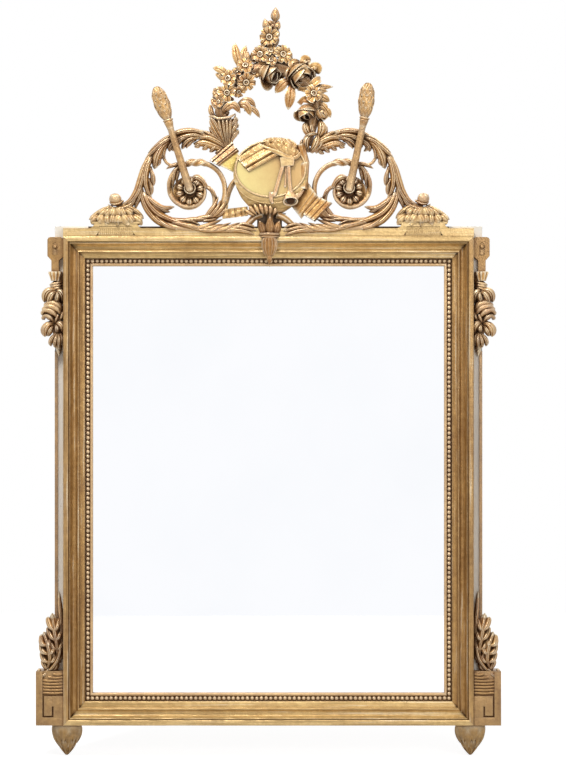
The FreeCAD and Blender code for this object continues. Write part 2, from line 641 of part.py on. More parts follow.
def make_torch(foot, top, tip):
    """Torch that rises from the rosette: tapered shaft, collar and a flame carved like a cone."""
    base = Vector(*on_crest([foot], 20)[0])
    top = Vector(*on_crest([top], 27)[0])
    way = top - base
    length = way.Length
    shaft = spun([(7.5, 0), (5.5, length - 12), (5.5, length)], tuple(base), tuple(way), 8)
    way.normalize()
    collar = spun([(7.0, 0), (8.0, 3), (8.0, 5), (6.0, 7), (9.5, 10), (9.5, 15), (6.0, 16)], tuple(top),
                  tuple(way), 8)
    start = top + way * 15
    lean = Vector(*on_crest([tip], 29)[0]) - start
    height = lean.Length
    flame = spun([(6, 0), (12.5, height * 0.2), (15, height * 0.45), (13, height * 0.72),
                  (6, height * 0.94), (0, height)], tuple(start), tuple(lean), 9)
    return joined([shaft, collar, flame])


def make_rosette():
    """Open flower in the eye of the volute, with the torch in its cup."""
    flower = crest_blossom(-159, 71, 30, 9, 16, 4, turn=10, hollow=0.3)
    cup = spun([(12, 0), (14, 8), (12, 12)], on_crest([(-160, 74)], 10)[0], (0, -1, 0.3), 8)
    return joined([flower, cup])


def make_wreath():
    """Wreath of roses, daisies and leaves that springs from a sheath of acanthus on the left and from a
    husk on the right, with a spray of buds on top."""
    branch = [
        stem(on_crest([(-91, 178), (-97, 230), (-88, 280), (-50, 314), (2, 326), (52, 314), (88, 278),
                       (96, 234), (84, 186)]), 15, (26, 24), 15),
        stem(on_crest([(2, 318), (0, 350), (2, 385), (8, 418)]), 4, (18, 8), 12)]
    beds = (([(-100, 232), (-104, 262), (-84, 300), (-48, 322)], 17, 18, 3),
            ([(-70, 312), (-30, 332), (20, 334), (60, 312)], 22, 22, 4),
            ([(56, 322), (92, 292), (108, 256), (96, 214)], 18, 20, 4),
            ([(4, 326), (2, 352), (2, 376), (4, 400)], 24, 24, 3))
    for spine, left, right, lobes in beds:
        branch.append(crest_leaf(spine, left, right, lobes, 17, notch=0.75))
    branch = joined(branch)
    sheath = [crest_leaf([(-90, 164), (x0, 196), (x1, z1)], width, width, 2, rise)
              for x0, x1, z1, width, rise in ((-106, -124, 230, 10, 22), (-93, -94, 236, 13, 26),
                                              (-74, -62, 230, 10, 22))]
    sheath.append(spun([(15, 0), (21, 22), (26, 52), (24, 58)], on_crest([(-92, 168)], 10)[0],
                       (0, 0, 1), 8, 0.5))
    husk = [crest_leaf(spine, 10, 10, 0, 24, 2) for spine in (
        [(76, 166), (72, 190), (82, 220)], [(88, 160), (104, 186), (106, 218)],
        [(80, 142), (78, 166), (92, 196)])]
    roses = [crest_blossom(2, 313, 25, 5, 30, 4, turn=10), crest_blossom(61, 311, 32, 5, 36, 4, turn=35),
             crest_blossom(74, 231, 25, 5, 32, 4, turn=5)]
    daisies = [crest_blossom(x, z, radius, 5, 14, ahead, hollow=0.25) for x, z, radius, ahead in (
        (1, 384, 20, 10), (-16, 347, 20, 12), (26, 347, 20, 10), (-41, 326, 19, 12),
        (-80, 300, 18, 14), (-48, 291, 19, 12), (-83, 272, 19, 12), (88, 272, 19, 14))]
    leaves = [crest_leaf(spine, width, width, lobes, 13, ahead) for spine, width, lobes, ahead in (
        ([(-57, 318), (-66, 346), (-69, 376)], 11, 0, 4),
        ([(-55, 318), (-52, 346), (-48, 366)], 9, 0, 4),
        ([(-80, 302), (-98, 314), (-113, 324)], 9, 0, 6),
        ([(-92, 252), (-112, 248), (-118, 264)], 9, 0, 6),
        ([(-100, 238), (-70, 250), (-38, 226)], 10, 2, 6),
        ([(-76, 244), (-44, 254), (-14, 250)], 8, 0, 6),
        ([(-50, 242), (-32, 236), (-16, 220)], 7, 0, 6),
        ([(48, 296), (30, 288), (10, 268)], 11, 0, 8),
        ([(50, 292), (42, 266), (37, 240)], 11, 0, 10),
        ([(80, 286), (104, 288), (130, 294)], 7, 0, 8),
        ([(90, 268), (108, 264), (124, 258)], 9, 0, 8),
        ([(78, 256), (100, 244), (118, 228)], 13, 2, 6),
        ([(66, 318), (84, 326), (98, 316)], 10, 0, 12),
        ([(60, 316), (66, 330), (80, 344)], 9, 0, 12))]
    finial = [spun([(4, 0), (8, 8), (7.5, 16), (3, 25), (0, 28)], on_crest([(12, 414)], 8)[0],
                   (0, 0, 1), 7),
              spun([(3, 0), (7, 7), (0, 22)], on_crest([(-2, 397)], 8)[0], (-0.25, 0, 1), 6),
              spun([(3, 0), (7, 7), (0, 20)], on_crest([(8, 397)], 8)[0], (0.45, 0, 1), 6)]
    return branch, joined(sheath), joined(husk), roses, daisies, leaves, finial


def block(corners, ahead, thick):
    """A flat piece of the trophy from its corners on the crest."""
    places = on_crest(corners)
    return plate([(x, z) for x, _, z in places], CARVING_BACK - ahead, CARVING_BACK - ahead - thick)


def oval_stack(levels, sides=16):
    """Oval rings in relief, one in front of the other: (height on the crest, half width, half height,
    ahead). The front ones stand out more at the bottom, as a drum's head does when it is tipped back."""
    rings = []
    for z, half_w, half_h, ahead in levels:
        ring = []
        for i in range(sides):
            angle = 2 * math.pi * i / sides
            drop = -half_h * math.sin(angle)
            lean = DRUM_LEAN * drop if ahead > 20 else 0.0
            ring.append(Vector(*on_crest([(DRUM_X + half_w * math.cos(angle), z - drop)],
                                         ahead + lean)[0]))
        rings.append(ring)
    faces = [rings[0], rings[-1]]
    for ring_a, ring_b in zip(rings, rings[1:]):
        faces += between(ring_a, ring_b)
    return facets(faces)


def make_trophy():
    """Drum on two leafy feet, hung with books, cap, dividers, horn and rolls."""
    bowl = oval_stack([(118, 73, 58, 31), (107, 73, 57, 29), (83, 65, 49, 22), (60, 44, 34, 12),
                       (47, 16, 22, -1)])
    core = oval_stack([(118, 60, 48, -1), (118, 62, 50, 26)])
    head = oval_stack([(118, 67, 53, 30), (118, 67, 53, 34)])
    feet = [crest_leaf([(5 + side * 14, 2), (5 + side * 30, 10), (5 + side * 44, 34)], 7, 7, 0, 10, 8,
                       edge=8)
            for side in (-1, 1)]
    petals = [crest_leaf([(x, 42), (x - 3, 31), (x - 8, 20)], 7, 7, 0, 10, 24)
              for x in (-40, -29, -18, -7, 4)]
    drum = joined([bowl, core, head] + feet + petals)
    book = joined([block([(-119, 137), (-77, 173), (-62, 170), (-61, 152), (-73, 115), (-107, 126)],
                         2, 20),
                   block([(-119, 137), (-77, 173), (-71, 169), (-112, 133)], 20, 5)])
    sheet = joined([block([(-65, 143), (-20, 170), (20, 150), (-41, 112)], 24, 14),
                    block([(-41, 118), (18, 153), (22, 147), (-41, 110)], 30, 13)])
    cap = spun([(34, -8), (40, 2), (38, 14), (30, 24)], on_crest([(24, 156)], 16)[0],
               (-0.12, 0, 1), 10, 0.5)
    dividers = joined([block([(22, 137), (49, 136), (50, 122), (21, 120)], 30, 11),
                       block([(23, 122), (33, 122), (12, 68), (5, 70)], 30, 7),
                       block([(35, 122), (43, 122), (46, 68), (38, 68)], 30, 7)])
    horn = spun([(10, 0), (14, 12), (14, 14), (11, 14), (9, 11)], on_crest([(42, 54)], 20)[0],
                (0, -1, 0.25), 10)
    rolls = [joined([block([(68, 88), (92, 62), (64, 24), (44, 32)], 2, 16),
                     block([(92, 60), (126, 58), (88, 18), (64, 28)], 4, 18)]),
             joined([block([(64, 166), (76, 160), (84, 110), (76, 84), (64, 84), (66, 140)], 2, 20),
                     block([(70, 142), (110, 136), (112, 128), (70, 128)], 2, 10)]),
             block([(-96, 42), (-54, 52), (-46, 30), (-92, 24)], 2, 14)]
    return drum, book, sheet, cap, [dividers, horn], rolls


def make_centre_pendant():
    """Bell flower that drops over the rail from under the drum."""
    ahead = CARVING_BACK - RAIL_FRONT
    low = CARVING_BACK - MOULDING_FRONT
    pieces = [crest_leaf(spine, width, width, 0, 12, ahead, edge=6) for spine, width in (
        ([(-12, -16), (-16, 4), (-21, 26)], 8), ([(0, -16), (0, 10), (2, 30)], 9),
        ([(12, -16), (16, 4), (21, 26)], 8))]
    pieces.append(block([(-21, -6), (19, -6), (19, -18), (-21, -18)], low, 12))
    pieces.append(spun([(9, 0), (13, 12), (14, 24), (8, 34), (3, 38)], on_crest([(0, -18)], low + 7)[0],
                       (0, 0, -1), 8, 0.45))
    pieces.append(spun([(3, 0), (5, 6), (4, 12), (0, 18)], on_crest([(0, -53)], low + 5)[0], (0, 0, -1),
                       6, 0.9))
    return joined(pieces)


def make_crest():
    """The carved crest, each piece seated against those before it."""
    mirror = (Vector(CREST_SHIFT, 0, 0), Vector(1, 0, 0))
    drum, book, sheet, cap, instruments, rolls = make_trophy()
    branch, sheath, husk, roses, daisies, leaves, finial = make_wreath()
    keep("trophy_drum", seated(drum, ["crest_screws", "crest_rail"]))
    keep("torch_left", make_torch((-161, 76), (-201, 204), (-229, 283)))
    keep("torch_right", make_torch((-161, 76), (-188, 208), (-199, 291)).mirror(*mirror))
    carvings = (("rosette", make_rosette()), ("scroll", make_scroll()),
                ("pedestal_leaves", make_pedestal_leaves()))
    for side in ("left", "right"):
        seats = ["crest_rail", "trophy_drum", "torch_" + side]
        for name, carving in carvings:
            half = carving if side == "left" else carving.mirror(*mirror)
            keep(name + "_" + side, seated(half, seats))
            seats.append(name + "_" + side)
    seats = ["crest_rail", "crest_screws", "crest_batten", "trophy_drum", "scroll_left", "scroll_right",
             "rosette_left", "rosette_right", "torch_left", "torch_right"]
    later = (("wreath_branch", [branch]), ("wreath_sheath", [sheath]), ("wreath_husk", [husk]),
             ("wreath_roses", roses), ("wreath_daisies", daisies), ("wreath_leaves", leaves),
             ("wreath_finial", finial), ("trophy_books", [book, sheet]),
             ("trophy_instruments", instruments), ("trophy_cap", [cap]), ("trophy_rolls", rolls),
             ("centre_pendant", [make_centre_pendant()]))
    for name, pieces in later:
        keep(name, seated(joined(pieces), seats))
        seats.append(name)


def main():
    make_carcass()
    make_back()
    make_glass()
    make_hangers()
    make_mouldings()
    make_crest_rail()
    make_crest_batten()
    make_wings()
    make_crest()
    os.makedirs("parts", exist_ok=True)
    for name, shape in NODES.items():
        shape.exportStep(os.path.join("parts", name + ".step"))


main()
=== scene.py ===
import math
import bpy
import numpy as np
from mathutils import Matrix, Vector


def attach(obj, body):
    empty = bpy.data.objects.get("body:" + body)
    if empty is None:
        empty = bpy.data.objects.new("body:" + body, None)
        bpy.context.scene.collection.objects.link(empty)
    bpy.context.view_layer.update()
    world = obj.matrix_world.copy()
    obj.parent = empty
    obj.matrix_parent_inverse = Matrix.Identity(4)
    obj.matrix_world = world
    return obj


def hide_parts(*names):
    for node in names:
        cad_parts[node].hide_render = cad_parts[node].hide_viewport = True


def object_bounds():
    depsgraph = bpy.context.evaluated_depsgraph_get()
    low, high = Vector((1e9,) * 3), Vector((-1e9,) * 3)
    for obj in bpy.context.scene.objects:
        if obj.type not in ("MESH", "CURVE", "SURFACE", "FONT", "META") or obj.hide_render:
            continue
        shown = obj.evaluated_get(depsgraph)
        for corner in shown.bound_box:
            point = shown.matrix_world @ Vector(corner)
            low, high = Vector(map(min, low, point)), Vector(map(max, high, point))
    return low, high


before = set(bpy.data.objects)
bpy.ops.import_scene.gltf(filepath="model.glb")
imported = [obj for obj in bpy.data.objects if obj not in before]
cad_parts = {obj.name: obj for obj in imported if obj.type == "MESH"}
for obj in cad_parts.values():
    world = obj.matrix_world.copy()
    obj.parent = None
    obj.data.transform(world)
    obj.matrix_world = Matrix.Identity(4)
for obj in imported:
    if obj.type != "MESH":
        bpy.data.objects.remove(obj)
cad_low, cad_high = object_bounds()

# Shapes are given in millimetres, in the frame's own axes: x to the right, y to the wall, z up. Most of the
# carving is given on a drawing seen from the front, whose u runs to the right and v down.
MM = 0.001
FRONT = np.array([0.0, -1.0, 0.0])
UP = np.array([0.0, 0.0, 1.0])
UNIT = 2.0                 # mm to a unit of the drawing
ORIGIN_U, ORIGIN_V = 268.5, 480.75
BACK = -33.0               # plane that the crest's carving lies against
MIDDLE = 2.0               # centre line of the crest
RELIEF_FROM = 58.0         # how far ahead of the wall the carving starts to be flattened, and
RELIEF_DEPTH = 20.0        # how much more depth there is for it


# ---------------------------------------------------------------- places and lines
def at(u, v, ahead=0.0):
    """The place of (u, v) on the drawing, ahead mm in front of the plane it lies against."""
    return np.array([(u - ORIGIN_U) * UNIT, BACK - ahead, (ORIGIN_V - v) * UNIT])


def places(points, ahead=0.0):
    """Places from (u, v) or (u, v, ahead) points."""
    return np.array([at(p[0], p[1], (p[2] if len(p) > 2 else 0.0) + ahead) for p in points])


def corners(*pairs):
    """The (x, z) corners of a slab from (u, v) pairs."""
    return [tuple(at(u, v)[[0, 2]]) for u, v in pairs]


def unit(v):
    v = np.asarray(v, float)
    return v / np.maximum(np.linalg.norm(v, axis=-1, keepdims=True), 1e-9)


def smooth(points, count):
    """Evenly spaced points on a smooth line through the given ones."""
    p = np.asarray(points, float)
    p = np.vstack([2 * p[0] - p[1], p, 2 * p[-1] - p[-2]])
    t = np.linspace(0, 1, 20, endpoint=False)[:, None]
    runs = [0.5 * (2 * b + (c - a) * t + (2 * a - 5 * b + 4 * c - d) * t ** 2
                   + (3 * b - a - 3 * c + d) * t ** 3)
            for a, b, c, d in zip(p, p[1:], p[2:], p[3:])]
    line = np.vstack(runs + [p[-2:-1]])
    way = np.r_[0, np.cumsum(np.linalg.norm(np.diff(line, axis=0), axis=1))]
    even = np.linspace(0, way[-1], count)
    return np.column_stack([np.interp(even, way, line[:, k]) for k in range(line.shape[1])])


def frames(line, up=FRONT):
    """Directions on a line: along it, to its left, and outward."""
    along = unit(np.gradient(line, axis=0))
    up = np.broadcast_to(np.asarray(up, float), along.shape)
    out = unit(up - (up * along).sum(1, keepdims=True) * along)
    return along, np.cross(out, along), out


def basis(axis, turn=0.0):
    """Three directions at right angles, the last along axis, the first near the horizontal."""
    e3 = unit(axis)
    seed = UP if abs(e3[2]) < 0.9 else -FRONT
    e1 = unit(np.cross(seed, e3))
    e2 = np.cross(e3, e1)
    c, s = math.cos(turn), math.sin(turn)
    return np.array([c * e1 + s * e2, c * e2 - s * e1, e3])


# ---------------------------------------------------------------- meshes
class Carving:
    """Closed pieces gathered into one mesh."""

    def __init__(self):
        self.verts, self.quads, self.tris, self.count = [], [], [], 0

    def add(self, verts, quads, tris=None):
        """A closed piece, its faces turned outward."""
        verts = np.asarray(verts, float).reshape(-1, 3)
        quads = np.asarray(quads, int).reshape(-1, 4)
        tris = np.zeros((0, 3), int) if tris is None else np.asarray(tris, int).reshape(-1, 3)
        corners = np.vstack([quads[:, [0, 1, 2]], quads[:, [0, 2, 3]], tris])
        a, b, c = (verts[corners[:, k]] - verts[0] for k in range(3))
        if (a * np.cross(b, c)).sum() < 0:
            quads, tris = quads[:, ::-1], tris[:, ::-1]
        self.verts.append(verts)
        self.quads.append(quads + self.count)
        self.tris.append(tris + self.count)
        self.count += len(verts)

    def rings(self, points):
        """Rings of points, one behind the other, closed at both ends."""
        n, m = points.shape[:2]
        i = np.arange(n - 1)[:, None] * m
        j, k = np.arange(m)[None], (np.arange(m)[None] + 1) % m
        quads = np.stack([i + j, i + k, i + m + k, i + m + j], -1).reshape(-1, 4)
        ends = points[[0, -1]].mean(1)
        j, k = np.arange(m), (np.arange(m) + 1) % m
        last = (n - 1) * m
        tris = np.vstack([np.column_stack([k, j, np.full(m, n * m)]),
                          np.column_stack([last + j, last + k, np.full(m, n * m + 1)])])
        self.add(np.vstack([points.reshape(-1, 3), ends]), quads, tris)

    def shell(self, front, back):
        """A sheet with two faces, closed round its rim."""
        n, m = front.shape[:2]
        grid = np.arange(n * m).reshape(n, m)
        faces = np.stack([grid[:-1, :-1], grid[:-1, 1:], grid[1:, 1:], grid[1:, :-1]], -1).reshape(-1, 4)
        rim = np.concatenate([grid[0, :-1], grid[:-1, -1], grid[-1, :0:-1], grid[:0:-1, 0]])
        after = np.roll(rim, -1)
        side = np.stack([after, rim, rim + n * m, after + n * m], -1)
        self.add(np.vstack([front.reshape(-1, 3), back.reshape(-1, 3)]),
                 np.vstack([faces, faces[:, ::-1] + n * m, side]))

    def moved(self, change):
        """A copy with its points changed by a function."""
        other = Carving()
        other.verts = [change(np.vstack(self.verts))]
        other.quads, other.tris, other.count = list(self.quads), list(self.tris), self.count
        return other

    def turned_round(self):
        """Every face turned over, for a mirror image."""
        self.quads = [q[:, ::-1] for q in self.quads]
        self.tris = [t[:, ::-1] for t in self.tris]
        return self

    def make(self, name, nodes=(), material=None, slot="gilt_wood", body="mirror", crease=48.0):
        """The pieces as one object on a body, in place of the named CAD nodes."""
        verts, quads, tris = relief(np.vstack(self.verts)) * MM, np.vstack(self.quads), np.vstack(self.tris)
        mesh = bpy.data.meshes.new(name)
        mesh.vertices.add(len(verts))
        mesh.vertices.foreach_set("co", verts.astype(np.float32).ravel())
        loops = np.concatenate([quads.ravel(), tris.ravel()]).astype(np.int32)
        starts = np.concatenate([np.arange(len(quads)) * 4, len(quads) * 4 + np.arange(len(tris)) * 3])
        mesh.loops.add(len(loops))
        mesh.loops.foreach_set("vertex_index", loops)
        mesh.polygons.add(len(quads) + len(tris))
        mesh.polygons.foreach_set("loop_start", starts.astype(np.int32))
        mesh.update(calc_edges=True)
        mesh.validate()
        mesh.shade_smooth()
        mesh.set_sharp_from_angle(angle=math.radians(crease))
        piece = bpy.data.objects.new(name, mesh)
        bpy.context.scene.collection.objects.link(piece)
        mesh.materials.append(material or GILT)
        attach(piece, body)
        if nodes:
            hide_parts(*nodes)
        return piece


def relief(points):
    """The carver's plank is only so thick: what stands far forward is flattened into it."""
    points = points.copy()
    over = np.maximum(-points[:, 1] - RELIEF_FROM, 0)
    flat = -RELIEF_FROM - RELIEF_DEPTH * (1 - np.exp(-over / RELIEF_DEPTH))
    points[:, 1] = np.where(over > 0, flat, points[:, 1])
    return points


def mirrored(carving, seed=0):
    """The other half of a pair, with the small differences of handwork."""
    wander = np.random.default_rng(seed).uniform(0, 6.28, 6)
    sway = 1.2 if seed else 0.0

    def change(p):
        q = p.copy()
        q[:, 0] = 2 * MIDDLE - p[:, 0]
        q[:, 0] += sway * np.sin(p[:, 2] / 37 + wander[0]) * np.sin(p[:, 0] / 53 + wander[1])
        q[:, 2] += sway * np.sin(p[:, 0] / 41 + wander[2]) * np.sin(p[:, 2] / 47 + wander[3])
        return q
    return carving.moved(change).turned_round()


# ---------------------------------------------------------------- carver's forms
def swell(t, full, blunt=0.8):
    """0 at both ends, 1 where full says."""
    return np.clip(np.sin(math.pi * t ** (math.log(0.5) / math.log(full))), 0, 1) ** blunt


def blade(carving, points, left, right=None, lobes=0, full=0.42, base=0.3, notch=0.42, lean=0.55, crown=4.0,
          ridge=1.3, vein=1.0, edge=1.2, body=3.0, cup=0.0, veins=0, up=FRONT, ahead=0.0, flat=False,
          blunt=0.8):
    """A leaf along its midrib. left and right are its widest reaches in mm, full the share of the length
    where they come, lobes the lobes on each side, lean how far they point on, crown the roundness of its
    back, cup how far the rim falls away from the viewer."""
    right = left if right is None else right
    spine = np.asarray(points, float) if flat else places(points, ahead)
    rows = 8 * lobes + 1 if lobes else 17
    spine = smooth(spine, rows)
    along, side, out = frames(spine, up)
    t = np.linspace(0, 1, rows)[:, None]
    s = np.linspace(-1, 1, 15)[None]
    a = np.abs(s)
    grow = swell(t, full, blunt)
    env = np.maximum(grow, base * (1 - t) ** 0.7 * (t < full))
    phase = (lobes or 1) * t
    share = phase - np.floor(phase)
    round_ = np.clip(np.sin(math.pi * share), 0, 1)
    lobe = 1 - notch * (1 - round_ ** 0.55) if lobes else 1.0
    reach = np.where(s < 0, right, left) * env * lobe
    shift = lean * a ** 1.6 * np.where(s < 0, right, left) * env * (1 if lobes else 0.25)
    high = crown * grow * (1 - a ** 2) - cup * a ** 2 * env - vein * np.exp(-(a / 0.11) ** 2) * grow
    if lobes:
        high = high + ridge * (round_ ** 0.8 - 0.6) * a ** 0.8 * env
        high = high + 0.35 * ridge * np.cos(6 * math.pi * share) * a * (1 - a) * env
    if veins:
        high = high + 0.45 * np.cos(2 * math.pi * (veins * t - a * 1.2)) * a * (1 - a ** 4) * env
    front = (spine[:, None] + side[:, None] * (s * reach)[..., None] + along[:, None] * shift[..., None]
             + out[:, None] * high[..., None])
    thick = edge + body * (1 - a ** 2) * np.maximum(grow, base * (1 - t))
    carving.shell(front, front - out[:, None] * thick[..., None])


def tube(carving, line, radius, deep=1.0, ribs=0, rib=0.08, twist=0.0, sides=16):
    """A round stem on a line, with a radius that may change along it. Ribs run along it, or round it with a
    twist."""
    line = np.asarray(line, float)
    along, side, out = frames(line)
    given = np.ravel(radius)
    radius = np.interp(np.linspace(0, 1, len(line)), np.linspace(0, 1, len(given)), given)[:, None]
    way = np.r_[0, np.cumsum(np.linalg.norm(np.diff(line, axis=0), axis=1))][:, None]
    angle = np.linspace(0, 2 * math.pi, sides, endpoint=False)[None]
    r = radius * (1 + (rib * np.cos(ribs * angle + twist * way) if ribs else 0))
    carving.rings(line[:, None] + side[:, None] * (r * np.cos(angle))[..., None]
                  + out[:, None] * (deep * r * np.sin(angle))[..., None])


def lathe(carving, profile, centre, axis, sides=24, flatten=1.0, ribs=0, rib=0.06, fine=0):
    """(radius, height) points turned about an axis. flatten squeezes it from front to back."""
    profile = smooth(profile, fine) if fine else np.asarray(profile, float)
    e = basis(axis)
    angle = np.linspace(0, 2 * math.pi, sides, endpoint=False)[None]
    r = profile[:, :1] * (1 + (rib * np.cos(ribs * angle) if ribs else 0))
    ring = ((r * np.cos(angle))[..., None] * e[0] + (r * np.sin(angle))[..., None] * e[1]
            + profile[:, 1:2, None] * e[2])
    ring[..., 1] *= flatten
    carving.rings(np.asarray(centre, float) + ring)


def ball(carving, centre, radius, rows=8, sides=12, stretch=(1, 1, 1)):
    """A ball, stretched along the frame's axes."""
    a = np.linspace(0.12, math.pi - 0.12, rows)[:, None]
    b = np.linspace(0, 2 * math.pi, sides, endpoint=False)[None]
    p = np.stack([np.sin(a) * np.cos(b), np.sin(a) * np.sin(b), np.cos(a) * np.ones_like(b)], -1)
    carving.rings(np.asarray(centre, float) + p * radius * np.asarray(stretch, float))


def slab(carving, outline, y_back, y_front, bevel=0.8):
    """A flat board with an outline of (x, z) points and a rounded front arris."""
    p = np.asarray(outline, float)
    if np.sum(p[:, 0] * np.roll(p[:, 1], -1) - np.roll(p[:, 0], -1) * p[:, 1]) < 0:
        p = p[::-1]
    into = unit(np.roll(p, -1, 0) - p)
    back = unit(p - np.roll(p, 1, 0))
    inward = unit(np.column_stack([-into[:, 1] - back[:, 1], into[:, 0] + back[:, 0]]))
    inward = inward / np.maximum((inward * np.column_stack([-into[:, 1], into[:, 0]])).sum(1, keepdims=True),
                                 0.4)
    rings = [(0, y_back), (0, y_front + bevel), (0.3 * bevel, y_front + 0.3 * bevel), (bevel, y_front)]
    points = np.array([[(q[0], y, q[1]) for q in p + inward * d] for d, y in rings])
    carving.rings(points)


def strip(carving, ends_a, ends_b, profile, thick=3.0, count=13, wave=0.0):
    """A folded sheet between two ends. profile is (share across, ahead) points from the first corner of
    each end to the second."""
    shares, high = np.array(profile, float).T
    fine = np.linspace(0, 1, 6 * len(profile) + 1)
    high = np.interp(fine, shares, high)
    a, b = places(ends_a), places(ends_b)
    t = np.linspace(0, 1, count)[:, None, None]
    s = fine[None, :, None]
    front = (a[0] * (1 - t) + b[0] * t) * (1 - s) + (a[1] * (1 - t) + b[1] * t) * s
    lift = high[None] + wave * np.sin(2 * math.pi * t[..., 0] * 1.5 + 5 * fine[None])
    front = front + lift[..., None] * FRONT
    carving.shell(front, front - thick * FRONT)


# ---------------------------------------------------------------- flowers
def petal(carving, centre, e, radius, middle, span, low, high, flare=0.12, thick=1.4, ripple=0.0, seed=0.0):
    """A petal of a round bloom, on a ball about its centre: from low to high degrees off the bloom's axis."""
    v = np.linspace(0, 1, 11)[:, None]
    s = np.linspace(-1, 1, 13)[None]
    off = np.radians(low + (high - low) * v * (1 - 0.34 * np.abs(s) ** 2.2))
    around = middle + np.radians(span) * s * (0.62 + 0.38 * np.sin(v * math.pi * 0.62))
    r = radius * (1 + flare * v ** 5 * (1 - 0.3 * s ** 2) + ripple * np.sin(4 * s + seed) * v ** 3
                  - 0.07 * s ** 2)
    p = np.stack([r * np.sin(off) * np.cos(around), r * np.sin(off) * np.sin(around), r * np.cos(off)], -1)
    front = np.asarray(centre, float) + p @ e
    out = unit(p @ e)
    carving.shell(front, front - thick * out)


def rose(carving, centre, axis, radius, turn=0.0, outer=5, seed=0):
    """A full-blown rose: petals that wrap a ball and turn back at their rims, round a small hollow."""
    e = basis(axis, turn)
    give = np.random.default_rng(seed)
    layers = ((outer, 1.0, 62, 150, 84, 0.22), (3, 0.92, 66, 128, 62, 0.18), (3, 0.80, 62, 104, 46, 0.12),
              (2, 0.62, 80, 84, 32, 0.06))
    for k, (count, share, span, low, high, flare) in enumerate(layers):
        for i in range(count):
            middle = 2 * math.pi * (i + 0.5 * (k % 2)) / count + give.uniform(-0.45, 0.45)
            aside = np.asarray(centre) + radius * 0.10 * give.uniform(-1, 1, 3)
            petal(carving, aside, e, radius * share * give.uniform(0.90, 1.10), middle, span,
                  low + give.uniform(-8, 8), high + give.uniform(-18, 14), flare * give.uniform(0.4, 1.8),
                  0.05 * radius + 0.4, 0.045, seed + i)
    ball(carving, np.asarray(centre) - 0.25 * radius * e[2], 0.46 * radius, 9, 16)


def daisy(carving, centre, axis, radius, petals=6, turn=0.0, seed=0):
    """An open flower: cupped petals with a furrow, round a raised ring with a sunk eye."""
    e = basis(axis, turn)
    give = np.random.default_rng(100 + seed)
    centre = np.asarray(centre, float)
    for i in range(petals):
        b = 2 * math.pi * i / petals + give.uniform(-0.16, 0.16)
        reach = radius * give.uniform(0.86, 1.10)
        droop = give.uniform(-0.12, 0.22)
        arm = math.cos(b) * e[0] + math.sin(b) * e[1]
        line = [centre + arm * (reach * x) + e[2] * (radius * (0.10 + 0.3 * y))
                for x, y in ((0.15, -0.2), (0.45, 0.55), (0.78, 0.75 + droop), (1.02, 0.35 - droop))]
        blade(carving, line, 0.78 * reach * math.pi / petals, lobes=0, full=0.66, base=0.3,
              crown=0.02 * radius,
              vein=0.09 * radius, cup=-0.10 * radius, edge=1.2, body=2.0, up=e[2], flat=True, blunt=0.5)
    lathe(carving, np.array([(0.34, -0.1), (0.36, 0.26), (0.32, 0.38), (0.24, 0.40), (0.17, 0.33),
                             (0.13, 0.12)]) * radius,
          centre, e[2], 16)
    ball(carving, centre + e[2] * 0.16 * radius, 0.15 * radius, 6, 10)
    lathe(carving, np.array([(0.6, -0.35), (0.66, -0.1), (0.34, 0.08)]) * radius, centre, e[2], 12)


def scales(carving, centre, axis, profile, rows, around, thick=1.6, flatten=1.0, point=0.5, out=0.10):
    """Overlapping pointed scales round a turned core. profile is (radius, height) points from the base up."""
    profile = smooth(profile, 60)
    lathe(carving, profile * (0.93, 1.0), centre, axis, 20, flatten)
    e = basis(axis)
    way = np.r_[0, np.cumsum(np.linalg.norm(np.diff(profile, axis=0), axis=1))]
    way /= way[-1]
    v = np.linspace(0, 1, 7)[:, None]
    s = np.linspace(-1, 1, 7)[None]
    step = 1.0 / rows
    for row in range(rows):
        low = max(row - 0.6, 0) * step
        for i in range(around):
            middle = 2 * math.pi * (i + 0.5 * (row % 2)) / around
            t = low + (1.75 * step) * v * (1 - 0.35 * s ** 2)
            t = np.minimum(t, 1)
            r = np.interp(t, way, profile[:, 0]) * (1 + out * v * (1 - 0.5 * s ** 2)) + 0.3
            z = np.interp(t, way, profile[:, 1])
            wide = math.pi / around * (1.12 - 0.85 * point * v ** 2.2)
            b = middle + wide * s
            p = (r * np.cos(b))[..., None] * e[0] + (r * np.sin(b))[..., None] * e[1] + z[..., None] * e[2]
            p = p + (0.5 * thick * (1 - np.abs(s)) * np.sin(math.pi * np.clip(v, 0, 1)))[..., None] * unit(
                np.cos(b)[..., None] * e[0] + np.sin(b)[..., None] * e[1])
            inner = p - thick * unit(np.cos(b)[..., None] * e[0] + np.sin(b)[..., None] * e[1])
            p[..., 1] *= flatten
            inner[..., 1] *= flatten
            carving.shell(np.asarray(centre) + p, np.asarray(centre) + inner)


